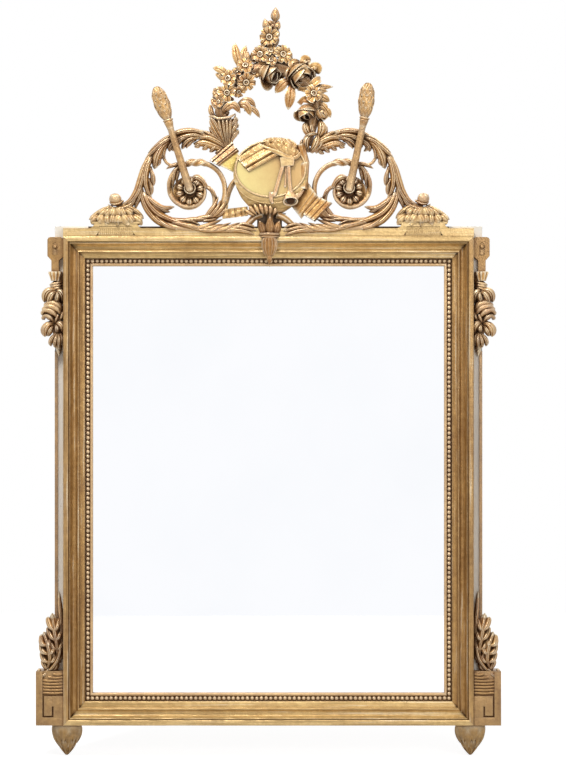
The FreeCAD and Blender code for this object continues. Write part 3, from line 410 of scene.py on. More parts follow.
# ---------------------------------------------------------------- materials
class Shader:
    """A material's nodes, made one after another."""

    def __init__(self, name, **shader):
        self.material = bpy.data.materials.new(name)
        self.material.use_nodes = True
        self.tree = self.material.node_tree
        self.main = self.tree.nodes["Principled BSDF"]
        for key, value in shader.items():
            self.main.inputs[key.replace("_", " ")].default_value = value
        here = self.node("ShaderNodeTexCoord")
        self.place, self.facing = here.outputs["Object"], here.outputs["Normal"]

    def node(self, kind, **settings):
        made = self.tree.nodes.new(kind)
        for key, value in settings.items():
            setattr(made, key, value)
        return made

    def put(self, socket, value):
        if isinstance(value, bpy.types.NodeSocket):
            self.tree.links.new(value, socket)
        else:
            socket.default_value = value

    def noise(self, scale, detail=4.0, rough=0.55, stretch=None, warp=0.0):
        """Noise in the object's own metres; stretch squeezes it along an axis."""
        made = self.node("ShaderNodeTexNoise")
        made.inputs["Scale"].default_value = scale
        made.inputs["Detail"].default_value = detail
        made.inputs["Roughness"].default_value = rough
        made.inputs["Distortion"].default_value = warp
        self.put(made.inputs["Vector"], self.stretched(stretch) if stretch else self.place)
        return made.outputs["Fac"]

    def stretched(self, stretch):
        made = self.node("ShaderNodeMapping")
        made.inputs["Scale"].default_value = stretch
        self.put(made.inputs["Vector"], self.place)
        return made.outputs["Vector"]

    def math(self, operation, a, b):
        made = self.node("ShaderNodeMath", operation=operation)
        self.put(made.inputs[0], a)
        self.put(made.inputs[1], b)
        return made.outputs[0]

    def ramp(self, value, *stops):
        """Stops are (value, level) pairs."""
        made = self.node("ShaderNodeValToRGB")
        elements = made.color_ramp.elements
        while len(elements) < len(stops):
            elements.new(0.5)
        for element, (place, level) in zip(elements, stops):
            element.position = place
            element.color = (level, level, level, 1.0)
        self.put(made.inputs["Fac"], value)
        return made.outputs["Color"]

    def mix(self, share, a, b):
        """a where share is 0, b where it is 1."""
        made = self.node("ShaderNodeMix", data_type="RGBA")
        self.put(made.inputs["Factor"], share)
        self.put(made.inputs["A"], (*a, 1.0) if isinstance(a, tuple) else a)
        self.put(made.inputs["B"], (*b, 1.0) if isinstance(b, tuple) else b)
        return made.outputs["Result"]

    def crevice(self, distance, power):
        """1 in the open, towards 0 where something stands within distance."""
        made = self.node("ShaderNodeAmbientOcclusion", samples=6)
        made.inputs["Distance"].default_value = distance
        return self.math("POWER", made.outputs["AO"], power)

    def edge(self):
        """Above a half on ridges and rims, below it in grooves."""
        return self.node("ShaderNodeNewGeometry").outputs["Pointiness"]

    def axis(self, vector, letter):
        made = self.node("ShaderNodeSeparateXYZ")
        self.put(made.inputs[0], vector)
        return made.outputs[letter]

    def bump(self, *layers):
        """Layers are (height, strength, distance in metres), the finest last."""
        normal = None
        for height, strength, distance in layers:
            made = self.node("ShaderNodeBump")
            made.inputs["Strength"].default_value = strength
            made.inputs["Distance"].default_value = distance
            self.put(made.inputs["Height"], height)
            if normal is not None:
                self.put(made.inputs["Normal"], normal)
            normal = made.outputs["Normal"]
        self.put(self.main.inputs["Normal"], normal)

    def set(self, **sockets):
        for key, value in sockets.items():
            self.put(self.main.inputs[key.replace("_", " ")], value)
        return self.material


def srgb(r, g, b):
    """The shader's colour for one given as it looks on screen, 0 to 255."""
    return tuple((c / 255 / 12.92) if c <= 10 else ((c / 255 + 0.055) / 1.055) ** 2.4 for c in (r, g, b))


def gilding(name, light, deep, bare, wear=0.5, grain=1.0, metal=0.4, rough=0.34, streak=None, reach=0.018,
            coat=0.10, rub_and_highlight=0.72):
    """Old water gilding: leaf over red bole, darker in the hollows with dirt and painted shade, rubbed on the
    high places with wear and a painted highlight, bare wood behind. light and deep are the leaf's colours and
    bare the bole's. wear is the share of bole, reach how far in metres the painted shade of a hollow darkens
    its sides, rub how much the ridges lighten with wear and a painted highlight, streak the direction of long
    lines, dark worn ones and pale ones of painted sheen."""
    light, deep, bare = (srgb(*colour) for colour in (light, deep, bare))
    m = Shader(name, Metallic=metal, Coat_Weight=coat, Coat_Roughness=0.28, Specular_IOR_Level=0.3)
    broad, mottle, fine = m.noise(14, 3), m.noise(95, 5, 0.6), m.noise(620, 4, 0.6)
    tone = m.math("ADD", m.math("MULTIPLY", broad, 0.5), m.math("MULTIPLY", mottle, 0.5))
    colour = m.mix(m.ramp(tone, (0.36, 0.0), (0.64, 1.0)), deep, light)
    patches = m.math("ADD", m.math("MULTIPLY", m.noise(160, 6, 0.65), 0.7), m.math("MULTIPLY", broad, 0.3))
    colour = m.mix(m.math("MULTIPLY", m.ramp(patches, (0.56, 0.0), (0.70, 1.0)), wear), colour, bare)
    # ridges and rims lighten towards a pale cream: rubbed wear on the leaf, and a painted highlight
    ridges = m.ramp(m.edge(), (0.508, 0.0), (0.57, 1.0))
    colour = m.mix(m.math("MULTIPLY", ridges, rub_and_highlight), colour, PALE_WEAR_AND_HIGHLIGHT)
    # hollows darken towards a dark brown: old dirt, and painted shade where the carving shades itself
    hollow = m.ramp(m.crevice(reach, 1.6), (0.08, 1.0), (0.84, 0.0))
    colour = m.mix(m.math("MULTIPLY", hollow, 0.92), colour, DIRT_AND_PAINTED_SHADE)
    layers = [(m.noise(230, 3, 0.5), 0.55 * grain, 0.0022), (mottle, 0.35 * grain, 0.0012),
              (fine, 0.30 * grain, 0.0005)]
    if streak:
        # long lines along the leaf: the darker ones are worn, the pale ones a painted sheen in the highlight
        # colour
        lines = m.noise(190, 5, 0.65, streak)
        worn = m.math("MULTIPLY", m.ramp(lines, (0.50, 0.0), (0.64, 1.0)), 0.62)
        colour = m.mix(worn, colour, tuple(c * 0.58 for c in deep))
        pale = m.math("MULTIPLY", m.ramp(lines, (0.34, 1.0), (0.44, 0.0)), 0.45)
        colour = m.mix(pale, colour, PALE_WEAR_AND_HIGHLIGHT)
        layers.insert(0, (lines, 0.4, 0.0008))
    rear = m.ramp(m.axis(m.facing, "Y"), (0.55, 0.0), (0.80, 1.0))
    figure = m.math("ADD", m.math("MULTIPLY", m.noise(120, 4, 0.6, (1.0, 1.0, 0.15)), 0.6),
                    m.math("MULTIPLY", mottle, 0.4))
    colour = m.mix(rear, colour, m.mix(m.ramp(figure, (0.38, 0.0), (0.62, 1.0)), *BARE_WOOD))
    roughness = m.math("ADD", m.math("ADD", m.math("MULTIPLY", mottle, 0.3), m.math("MULTIPLY", rear, 0.3)),
                       m.math("ADD", m.math("MULTIPLY", hollow, 0.2), rough - 0.15))
    m.set(Base_Color=colour, Metallic=m.math("SUBTRACT", metal, m.math("MULTIPLY", rear, metal)),
          Roughness=roughness)
    m.bump(*layers)
    return m.material


# the pale cream of the high places: rubbed leaf, and a painted highlight
PALE_WEAR_AND_HIGHLIGHT = srgb(255, 244, 216)
# the dark brown of the hollows: old dirt, and painted shade
DIRT_AND_PAINTED_SHADE = srgb(84, 46, 22)
BARE_WOOD = srgb(104, 74, 48), srgb(150, 114, 76)
ALONG, UPRIGHT = (0.025, 1.0, 1.0), (1.0, 1.0, 0.025)
GILT = gilding("gilt_carving", (238, 192, 120), (178, 118, 60), (160, 88, 54))
# the rails are a lighter copy of the stiles' gilding: painted light, as rails burnished along their length
# catch the lamp above and the stiles don't
GILT_RAIL_LIT = gilding("gilt_rails_lit", (241, 206, 140), (204, 166, 106), (166, 114, 76), 0.4, 0.8, streak=ALONG,
                    reach=0.007, rub_and_highlight=0.12)
GILT_STILE_SHADED = gilding("gilt_stiles_shaded", (200, 158, 96), (160, 118, 66), (140, 88, 58), 0.45, 0.8, streak=UPRIGHT,
                     reach=0.007, rub_and_highlight=0.12)
GILT_FLAT = gilding("gilt_blocks", (188, 146, 88), (142, 102, 58), (130, 84, 52), reach=0.012, rub_and_highlight=0.10)
GILT_PEARL = gilding("gilt_pearls", (226, 180, 116), (176, 128, 74), (150, 90, 54), 0.4, 0.6, rub_and_highlight=0.4)
GILT_FOOT = gilding("gilt_feet", (188, 146, 84), (112, 78, 38), (104, 66, 34), reach=0.006, rub_and_highlight=0.3, coat=0.0,
                    rough=0.5)
GILT_PALE = gilding("gilt_pale", (252, 232, 150), (236, 202, 112), (214, 160, 100), 0.25, 0.7, reach=0.010)
GILT_CREAM = gilding("gilt_cream", (248, 216, 152), (194, 142, 84), (190, 120, 84), 0.45, 1.2, reach=0.012,
                     rub_and_highlight=0.4)
# darker gilding; on the wreath branch it is painted shade behind the roses and daisies
GILT_DARK = gilding("gilt_worn_dark_and_painted_shade", (176, 128, 70), (118, 76, 36), (106, 60, 36), reach=0.014, rub_and_highlight=0.3)
GILT_SCALES = gilding("gilt_scales", (222, 174, 106), (142, 96, 50), (130, 78, 46), reach=0.012, rub_and_highlight=0.45)
# a dark brown that stands for shade: painted shade under the drum and in the horn
SHADE = gilding("painted_shade_dark_brown", (72, 44, 22), (48, 28, 14), (40, 24, 12), 0.3, 0.5, 0.0, 0.9, coat=0.0)
GILT_RED = gilding("gilt_rubbed", (240, 200, 148), (204, 148, 100), (204, 138, 112))


def drum_skin():
    """Gilding of the drum's head: bright at the lower left, browner to the right and up where the cap shades
    it, which is painted shade; its hollows darken with dirt and painted shade.
    """
    m = Shader("gilt_drum_head", Metallic=0.3, Coat_Weight=0.22, Coat_Roughness=0.28)
    mottle, fine = m.noise(70, 5, 0.6), m.noise(620, 4, 0.6)
    # painted shade: browner towards the upper right, under the cap
    place = m.math("ADD", m.math("ADD", m.math("MULTIPLY", m.axis(m.place, "X"), 9.0),
                                 m.math("MULTIPLY", m.axis(m.place, "Z"), 5.0)), -2.62)
    place = m.math("ADD", place, m.math("MULTIPLY", mottle, 0.5))
    colour = m.mix(m.ramp(place, (0.0, 0.0), (1.0, 1.0)), srgb(252, 234, 158), srgb(214, 174, 112))
    # hollows darken: dirt, and painted shade
    hollow = m.ramp(m.crevice(0.012, 1.6), (0.08, 1.0), (0.84, 0.0))
    colour = m.mix(m.math("MULTIPLY", hollow, 0.8), colour, DIRT_AND_PAINTED_SHADE)
    m.set(Base_Color=colour, Roughness=m.math("ADD", m.math("MULTIPLY", mottle, 0.3), 0.2))
    m.bump((mottle, 0.4, 0.0015), (fine, 0.3, 0.0005))
    return m.material


def paint():
    """Off-white paint, chipped and stained, on pine, with painted shade in its corners and hollows."""
    m = Shader("old_paint", Metallic=0.0)
    stain = m.ramp(m.noise(30, 5, 0.6, (1, 1, 0.25)), (0.42, 0.0), (0.7, 1.0))
    colour = m.mix(m.math("MULTIPLY", stain, 0.5), srgb(255, 252, 244), srgb(242, 230, 208))
    chips = m.ramp(m.noise(210, 6, 0.7), (0.66, 0.0), (0.70, 1.0))
    colour = m.mix(chips, colour, srgb(150, 112, 72))
    # painted shade: corners and hollows darken towards brown
    hollow = m.ramp(m.crevice(0.005, 1.2), (0.15, 1.0), (0.9, 0.0))
    colour = m.mix(m.math("MULTIPLY", hollow, 0.22), colour, srgb(150, 122, 90))
    # only the front face is painted, 32 mm ahead of the wall
    behind = m.ramp(m.math("MULTIPLY", m.axis(m.place, "Y"), -1 / 0.032), (0.90, 1.0), (0.985, 0.0))
    grain = m.noise(60, 5, 0.6, (1, 1, 0.06))
    bare = m.mix(m.ramp(grain, (0.3, 0.0), (0.7, 1.0)), srgb(112, 82, 54), srgb(160, 124, 84))
    colour = m.mix(behind, colour, bare)
    m.set(Base_Color=colour, Roughness=m.math("ADD", 0.55, m.math("MULTIPLY", stain, 0.2)))
    m.bump((grain, 0.25, 0.0010), (chips, 0.3, 0.0005))
    return m.material


def wood(name, light, dark, along):
    """Bare pine, sawn and gone brown. along is the axis the grain follows."""
    light, dark = srgb(*light), srgb(*dark)
    stretch = tuple(0.05 if k == along else 1.0 for k in range(3))
    m = Shader(name, Metallic=0.0)
    grain, figure, dirt = m.noise(150, 5, 0.6, stretch), m.noise(22, 4, 0.6, stretch, 0.6), m.noise(9, 4)
    colour = m.mix(m.ramp(figure, (0.35, 0.0), (0.65, 1.0)), dark, light)
    colour = m.mix(m.math("MULTIPLY", m.ramp(grain, (0.5, 0.0), (0.75, 1.0)), 0.5), colour,
                   tuple(c * 0.45 for c in dark))
    colour = m.mix(m.math("MULTIPLY", m.ramp(dirt, (0.45, 0.0), (0.75, 1.0)), 0.5), colour,
                   tuple(c * 0.4 for c in dark))
    m.set(Base_Color=colour, Roughness=m.math("ADD", 0.62, m.math("MULTIPLY", grain, 0.25)))
    m.bump((figure, 0.25, 0.0012), (grain, 0.4, 0.0006))
    return m.material


def metal(name, light, dark, rough, rusty):
    """Iron or steel with patches of rust."""
    light, dark = srgb(*light), srgb(*dark)
    m = Shader(name, Metallic=0.85)
    patch, fine = m.noise(120, 5, 0.6), m.noise(900, 3, 0.6)
    rust = m.ramp(m.noise(260, 6, 0.7), (0.52, 0.0), (0.68, 1.0))
    colour = m.mix(m.ramp(patch, (0.35, 0.0), (0.65, 1.0)), dark, light)
    colour = m.mix(m.math("MULTIPLY", rust, rusty), colour, srgb(96, 56, 34))
    m.set(Base_Color=colour, Roughness=m.math("ADD", rough, m.math("MULTIPLY", rust, 0.3)))
    m.bump((patch, 0.3, 0.0006), (fine, 0.25, 0.0003))
    return m.material


def mirror_glass():
    """Old silvering behind glass: very slightly blue, with a few faint specks and a hair of haze."""
    m = Shader("silvering", Metallic=1.0)
    specks = m.ramp(m.noise(240, 3, 0.5), (0.74, 0.0), (0.80, 1.0))
    haze = m.ramp(m.noise(5, 3, 0.5), (0.4, 0.0), (0.8, 1.0))
    clear = m.mix(m.math("MULTIPLY", haze, 0.6), srgb(251, 252, 255), srgb(246, 248, 252))
    m.set(Base_Color=m.mix(m.math("MULTIPLY", specks, 0.10), clear, srgb(190, 192, 196)),
          Roughness=m.math("ADD", 0.012, m.math("MULTIPLY", haze, 0.02)))
    m.bump((m.noise(3.0, 2), 0.02, 0.004))
    return m.material


PAINT = paint()
PINE = wood("pine", (168, 132, 92), (124, 90, 60), 2)
# darker bare pine for the carcass's top rail: dirty wood, and painted shade behind the crest
DARK_PINE_AND_SHADE = wood("dark_pine_and_painted_shade", (96, 72, 50), (62, 44, 30), 0)
BOARDS = wood("boards", (150, 120, 88), (108, 80, 56), 0)
IRON = metal("iron", (92, 88, 84), (48, 46, 46), 0.45, 0.7)
STEEL = metal("steel", (150, 146, 140), (100, 96, 92), 0.35, 0.4)
SILVER = mirror_glass()


# ---------------------------------------------------------------- plain CAD nodes keep their shape
def dress(node, material, ease=0.0):
    """The CAD node's own surface in a finish. ease rounds its arrises."""
    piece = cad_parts[node]
    piece.data.materials.clear()
    piece.data.materials.append(material)
    if ease:
        weld = piece.modifiers.new("weld", "WELD")
        weld.merge_threshold = 0.00002
        bevel = piece.modifiers.new("arris", "BEVEL")
        bevel.width = ease * MM
        bevel.segments = 2
        bevel.limit_method = "ANGLE"
        bevel.angle_limit = math.radians(28)
        bevel.harden_normals = True


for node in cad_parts:
    dress(node, GILT)
for material, ease, nodes in (
        (PAINT, 0.5, ("carcass_stile_left", "carcass_stile_right")),
        (PINE, 0.5, ("carcass_rail_bottom",)),
        (DARK_PINE_AND_SHADE, 0.5, ("carcass_rail_top",)),
        (PINE, 0.4, ("crest_batten", "joint_pegs", "glass_blocks")),
        (BOARDS, 0.6, ("backboard_bottom", "backboard_middle", "backboard_top")),
        (IRON, 0.0, ("backboard_nails", "strap_nails")),
        (STEEL, 0.0, ("crest_screws", "hanger_screws")),
        (IRON, 0.2, ("hanger_strap_left", "hanger_strap_right")),
        (GILT_RAIL_LIT, 0.5, ("crest_rail",)),
        (GILT_DARK, 0.5, ("key_block_left", "key_block_right", "wing_edges")),
        (GILT_FLAT, 0.5, ("strap_left", "strap_right")),
        (SILVER, 0.0, ("mirror_glass",))):
    for node in nodes:
        dress(node, material, ease)


# ---------------------------------------------------------------- mouldings and pearls
def strap_face(side):
    """The strap's shallow recess with its round peg."""
    c = Carving()
    x = side * 427.5
    slab(c, [(x - 6.4, 444), (x + 6.4, 444), (x + 6.4, 472), (x + 4.4, 475.4), (x, 476.6), (x - 4.4, 475.4),
             (x - 6.4, 472)],
         -34, -43.3, 0.6)
    ball(c, (x, -43.2, 468), 4.6, 10, 16)
    return c


strap_face(-1).make("strap_face_left", material=GILT_FLAT)
strap_face(1).make("strap_face_right", material=GILT_FLAT)


# Both profiles are (mm in from the frame's outer edge, mm ahead of the wings).
MOULDING = [(0, 0), (0, 12), (0.2, 27.5), (0.8, 29.2), (2.0, 30), (8.5, 30.2), (10.4, 29.6), (11.2, 28.4),
            (11.5, 26.6),
            (12.0, 26.0), (12.8, 26.0), (13.2, 27.4), (13.8, 28.0), (14.6, 27.6), (15.2, 26.2), (16.6, 23.4),
            (18.4, 20.8), (20.4, 19.0), (22.6, 18.0), (25.0, 17.9), (27.0, 18.8), (28.6, 20.4), (29.6, 22.6),
            (30.2, 24.4), (31.2, 25.0), (32.4, 24.8), (33.2, 23.2), (33.5, 18.4), (33.8, 15.6), (35.2, 15.0),
            (40.0, 14.8), (43.4, 14.7), (44.4, 14.0), (45.0, 12.6), (45.1, 8), (45.1, 0)]
PEARL_BED = [(45, 6), (45, 7.8), (45.6, 8.0), (46.2, 7.6), (47, 7.4), (53.4, 7.4), (54.4, 8.0), (55.0, 9.6),
             (55.6, 10.6), (56.6, 11.0), (59.6, 10.7), (60.6, 10.0), (61, 8.8), (61, 6)]
PEARL_LINE, PEARL_PITCH, PEARL_RADIUS = 50.2, 9.4, 4.45
SIDES = "top", "right", "bottom", "left"
DRAWN = 0.967, 0.952, 1.04, 0.952      # how wide each side is drawn, as a share of its profile
HALF_W, HALF_H = 410.0, 488.5


def around_frame(turn, t, u, high):
    """Points of one of the frame's four sides: t from -1 to 1 along it, u in from the edge, high ahead."""
    half, out = (HALF_W, HALF_H) if turn % 2 == 0 else (HALF_H, HALF_W)
    ahead, behind = half - u * DRAWN[(turn + 1) % 4], half - u * DRAWN[(turn + 3) % 4]
    along, across = (1 + t) / 2 * ahead - (1 - t) / 2 * behind, out - u * DRAWN[turn]
    angle = -turn * math.pi / 2
    c, s = round(math.cos(angle)), round(math.sin(angle))
    x, z = along * c - across * s, along * s + across * c
    return np.stack([x, -32.0 - high + 0 * x, z], -1)


def frame_side(carving, turn, profile, stations=100, unevenness=0.25):
    """A length of moulding with mitred ends and a hand-worked surface."""
    u, high = np.array(profile, float).T
    t = np.linspace(-1, 1, stations)[:, None]
    way = t * 450 + turn * 1000
    give = unevenness * (np.sin(way / 31) * np.sin(way / 73 + u / 9) + 0.5 * np.sin(way / 11 + u))
    give = give * np.clip(high / 8, 0, 1) * (1 - t ** 8)
    carving.rings(around_frame(turn, t, u[None], high[None] + give))


def pearls(carving, turn):
    """A row of pearls. The corner pearls belong to the top and bottom rows."""
    half = (HALF_W if turn % 2 == 0 else HALF_H) - PEARL_LINE * 0.96
    count = int(round(2 * half / PEARL_PITCH))
    give = np.random.default_rng(20 + turn)
    for i in range(turn % 2, count + 1 - turn % 2):
        share = i / count * 2 - 1
        centre = around_frame(turn, np.array(share), np.array(PEARL_LINE), np.array(8.6))
        centre = centre + give.normal(0, 0.12, 3)
        ball(carving, centre, PEARL_RADIUS * give.uniform(0.96, 1.03), 8, 12, (1, 0.92, 1))


# the top and bottom lengths in the lit copy of the gilding, the sides in the shaded copy: painted light
for turn, side in enumerate(SIDES):
    rail = Carving()
    frame_side(rail, turn, MOULDING)
    rail.make("moulding_length_" + side, ["moulding_" + side], GILT_STILE_SHADED if turn % 2 else GILT_RAIL_LIT,
              crease=38)
    beads = Carving()
    frame_side(beads, turn, PEARL_BED, 60, 0.1)
    pearls(beads, turn)
    beads.make("pearl_row_" + side, ["pearl_strip_" + side], GILT_PEARL, crease=60)


# ---------------------------------------------------------------- openwork scroll
def leaves(carving, table, **every):
    """Leaves from rows of places, reach to the left and right, lobes and height above the drawing."""
    for points, left, right, lobes, ahead in table:
        blade(carving, points, left, right, lobes, ahead=ahead, **every)


def over_rail(points, forward=15.0):
    """The same places, brought forward where they hang over the front of the rail."""
    return [(p[0], p[1],
             (p[2] if len(p) > 2 else 0) + forward * min(max((p[1] - 219) / 7, 0), 1)) for p in points]


def strands(carving, table, forward=15.0, **every):
    """Long flowing leaf ends, each a line of places with its half width in mm."""
    shape = dict(full=0.42, base=0.8, crown=4.6, vein=1.5, cup=3.4, edge=1.4, body=4.0, blunt=0.5, ahead=6.0)
    for points, width, *more in table:
        blade(carving, over_rail(points, forward), width, width, 0,
              **{**shape, **every, **(more[0] if more else {})})


CURLED = dict(full=0.62, crown=5.0, vein=1.7, cup=4.4, body=5.0, blunt=0.42)
SLENDER = dict(full=0.35, crown=3.4, vein=1.0, cup=2.4, body=3.0, blunt=0.6)


def scroll_leaves():
    """The scroll's stem and the leaves on it."""
    c = Carving()
    band = smooth(places([(224, 145, 5), (212, 137, 6), (200, 133.5, 6), (186, 133.2, 6), (173, 137.5, 6),
                          (161, 145, 6), (151.5, 154.5, 6), (146, 165.5, 6), (142.5, 177, 6), (138.5, 188, 7),
                          (132.5, 198, 8), (124, 204.6, 8), (116, 206, 8)]), 110)
    tube(c, band, (5, 7, 7, 6.6, 6.2, 6.6, 6.4, 6.2, 5.8, 5.4, 5), 1.05)
    low = smooth(places(over_rail([(141.5, 190, 6), (144.5, 203, 6), (151, 215, 6), (162, 223.5, 6),
                                   (177, 227.8, 6),
                         (196, 229.4, 6), (216, 229.8, 5), (240, 229.6, 4)])), 90)
    tube(c, low, (4, 5.6, 6.4, 6.6, 6.2, 5.2, 4.2, 3.4), 1.05)
    # over the top, from the sheath to the torch
    strands(c, [
        ([(225, 150, 3), (214, 145.5, 8), (204, 142.6, 9), (196.5, 143.5, 6), (192.8, 142.4, 1)], 9.0),
        ([(227, 148, 5), (217, 141.2, 11), (207, 137.2, 12), (197, 138.4, 7)], 6.6),
        ([(226, 145, 4), (216, 138, 9), (208, 133, 9), (201.5, 130.5, 6)], 5.2),
        ([(203.5, 136.6, 7), (194, 135, 12), (184, 136.6, 12), (174, 141, 9), (167.5, 147, 3)], 5.6),
        ([(203.5, 132.4, 8), (192, 130.6, 11), (181, 131.6, 11), (171, 135.6, 9), (162, 141, 4)], 6.4),
    ])
    strands(c, [
        ([(217, 145, 9), (213, 148.6, 9), (209.5, 151.6, 3)], 5.2),
        ([(209, 144, 9), (205.5, 147, 8), (202.4, 149.2, 2)], 5.4),
        ([(222, 148, 7), (218.6, 151, 7), (215.2, 153, 2)], 4.6),
        ([(201, 142, 10), (197.5, 145.4, 8), (194.8, 146.6, 2)], 5.0),
        ([(199.5, 137, 9), (190.5, 139, 12), (184.6, 143.4, 9), (181.4, 149, 1)], 5.6),
        ([(196, 138.6, 6), (190.5, 141.8, 8), (187, 145.4, 5), (186.4, 147.6, 0)], 4.6),
        ([(191, 136.4, 10), (182.6, 138.8, 12), (178.2, 143, 8), (176.8, 147, 1)], 5.2),
        ([(184, 137.4, 9), (175, 141.4, 11), (170, 146.4, 8), (169.4, 151.4, 1)], 6.4),
        ([(179, 138.4, 7), (173, 143.4, 8), (172.4, 148, 6), (175.4, 150.8, 1)], 4.4),
    ], **CURLED)
    # down the outside to the fork
    strands(c, [
        ([(170.5, 139, 9), (162, 147, 13), (156.8, 157, 13), (154, 169, 3)], 8.6, CURLED),
        ([(169.5, 142, 6), (164.6, 148, 8), (162.8, 154, 6), (164.6, 159, 1)], 5.2, CURLED),
        ([(160.6, 150, 10), (161, 155, 8), (159, 160.4, 1)], 4.2, CURLED),
        ([(158.4, 156, 11), (159, 161, 8), (157.4, 165.6, 1)], 4.2, CURLED),
        ([(177, 133.6, 9), (166, 138.2, 11), (157, 145, 10), (147.6, 152.6, 3)], 4.6),
        ([(175, 136.4, 10), (164, 142, 14), (154.5, 150.4, 12), (144.6, 158.8, 4)], 6.0),
        ([(151, 153, 6), (144.4, 166, 10), (140.4, 179, 10), (136.4, 191, 9), (130, 200.4, 8), (121, 206, 4)],
         7.0,
         {"full": 0.5}),
        ([(151, 156, 7), (147, 168, 12), (145.4, 181, 12), (147.6, 191, 9), (152, 199.4, 2)], 6.6),
        ([(151.6, 157, 7), (149.4, 163, 10), (147.8, 168, 4)], 4.4),
        ([(149, 166, 6), (152, 174, 9), (152.8, 180.4, 8), (152.4, 186.4, 1)], 5.6, CURLED),
        ([(148, 178, 8), (150.6, 185, 9), (151, 190.4, 6), (149.8, 195.4, 1)], 5.0, CURLED),
        ([(145.4, 170, 10), (141.8, 182, 12), (138.8, 191, 11), (134, 199.4, 4)], 5.0),
        ([(143.4, 181, 9), (139.2, 191, 11), (133, 200, 10), (124.6, 207.4, 3)], 5.0),
        ([(141.6, 188, 9), (139.6, 197, 9), (136.2, 203.6, 6), (134.6, 210, 0)], 5.0),
        ([(136.4, 197, 9), (131.8, 204, 8), (127.6, 210.4, 1)], 4.6),
    ])
    # from the fork along the bottom
    strands(c, [
        ([(141, 189, 6), (142.8, 200, 9), (148.4, 211.4, 10), (158, 221.6, 10), (171, 229, 4)], 6.4),
        ([(143.4, 192, 8), (149, 204, 12), (158, 213.6, 13), (170, 219.8, 12), (181, 223.4, 9),
          (190.6, 229.6, 2)], 7.0,
         {"full": 0.5}),
        ([(146.6, 196, 8), (154, 203, 12), (163, 208, 11), (174.6, 206.4, 2)], 6.4),
        ([(151, 202, 9), (157.6, 208.4, 10), (165.4, 213.2, 2)], 5.2),
        ([(158, 206, 10), (164, 210.4, 9), (170.2, 211.6, 2)], 4.4),
        ([(150, 208, 7), (157, 218, 10), (167, 226, 9), (180, 230.6, 3)], 5.4),
        ([(166, 218, 8), (178, 220.4, 11), (190, 221, 10), (200.6, 225.4, 2)], 5.4),
        ([(178, 221.4, 8), (192, 219.8, 12), (204, 219.6, 10), (212.6, 222, 2)], 5.6),
        ([(186, 222.6, 7), (200, 218.4, 11), (211, 216, 10), (221.4, 212.4, 2)], 5.6),
        ([(172, 222.6, 8), (184, 225, 11), (192.4, 228, 9), (198.4, 231.4, 2)], 5.2),
        ([(180, 224.6, 7), (190, 226, 10), (199, 228.6, 8), (206.4, 231.8, 2)], 4.8),
        ([(190, 228, 7), (206, 231, 9), (224, 231, 7), (248, 233.4, 2)], 4.6),
        ([(224, 231, 5), (234, 230.4, 8), (246, 232, 8), (257, 236, 2)], 5.2),
        ([(228, 229, 5), (238, 227.4, 8), (248, 229, 8), (258.6, 231.4, 2)], 4.8),
        ([(236, 227, 5), (243, 224.4, 8), (250, 225.4, 7), (256, 228, 2)], 4.0),
    ])
    strands(c, [
        ([(194, 229.4, 7), (208, 225.6, 10), (222.6, 218.8, 2)], 4.6),
        ([(199, 230.4, 7), (212, 227.4, 10), (223, 224, 2)], 4.2),
        ([(206, 231, 7), (219, 228, 10), (231.4, 222.4, 2)], 4.4),
        ([(213, 231.6, 7), (227, 228.4, 10), (240.4, 222.2, 2)], 4.6),
        ([(221, 232, 6), (234, 229.2, 9), (244.6, 225.4, 2)], 4.0),
        ([(229, 232.2, 6), (241, 230, 8), (251, 228.4, 2)], 4.0),
        ([(203, 221, 9), (212, 220, 9), (219.6, 216.6, 2)], 4.0),
        ([(204, 219.6, 6), (209.6, 212, 11), (214.6, 205, 10), (218.4, 196, 2)], 5.0),
        ([(207, 219, 7), (214, 212, 12), (218.4, 206, 11), (220.4, 199.4, 3)], 5.0),
        ([(210, 218.6, 7), (217.4, 212.6, 12), (222.6, 206.6, 11), (226, 199.4, 3)], 5.4),
        ([(213, 217, 6), (220, 214.4, 9), (225.6, 209, 8), (228, 203, 2)], 4.6),
    ], **SLENDER)
    return c


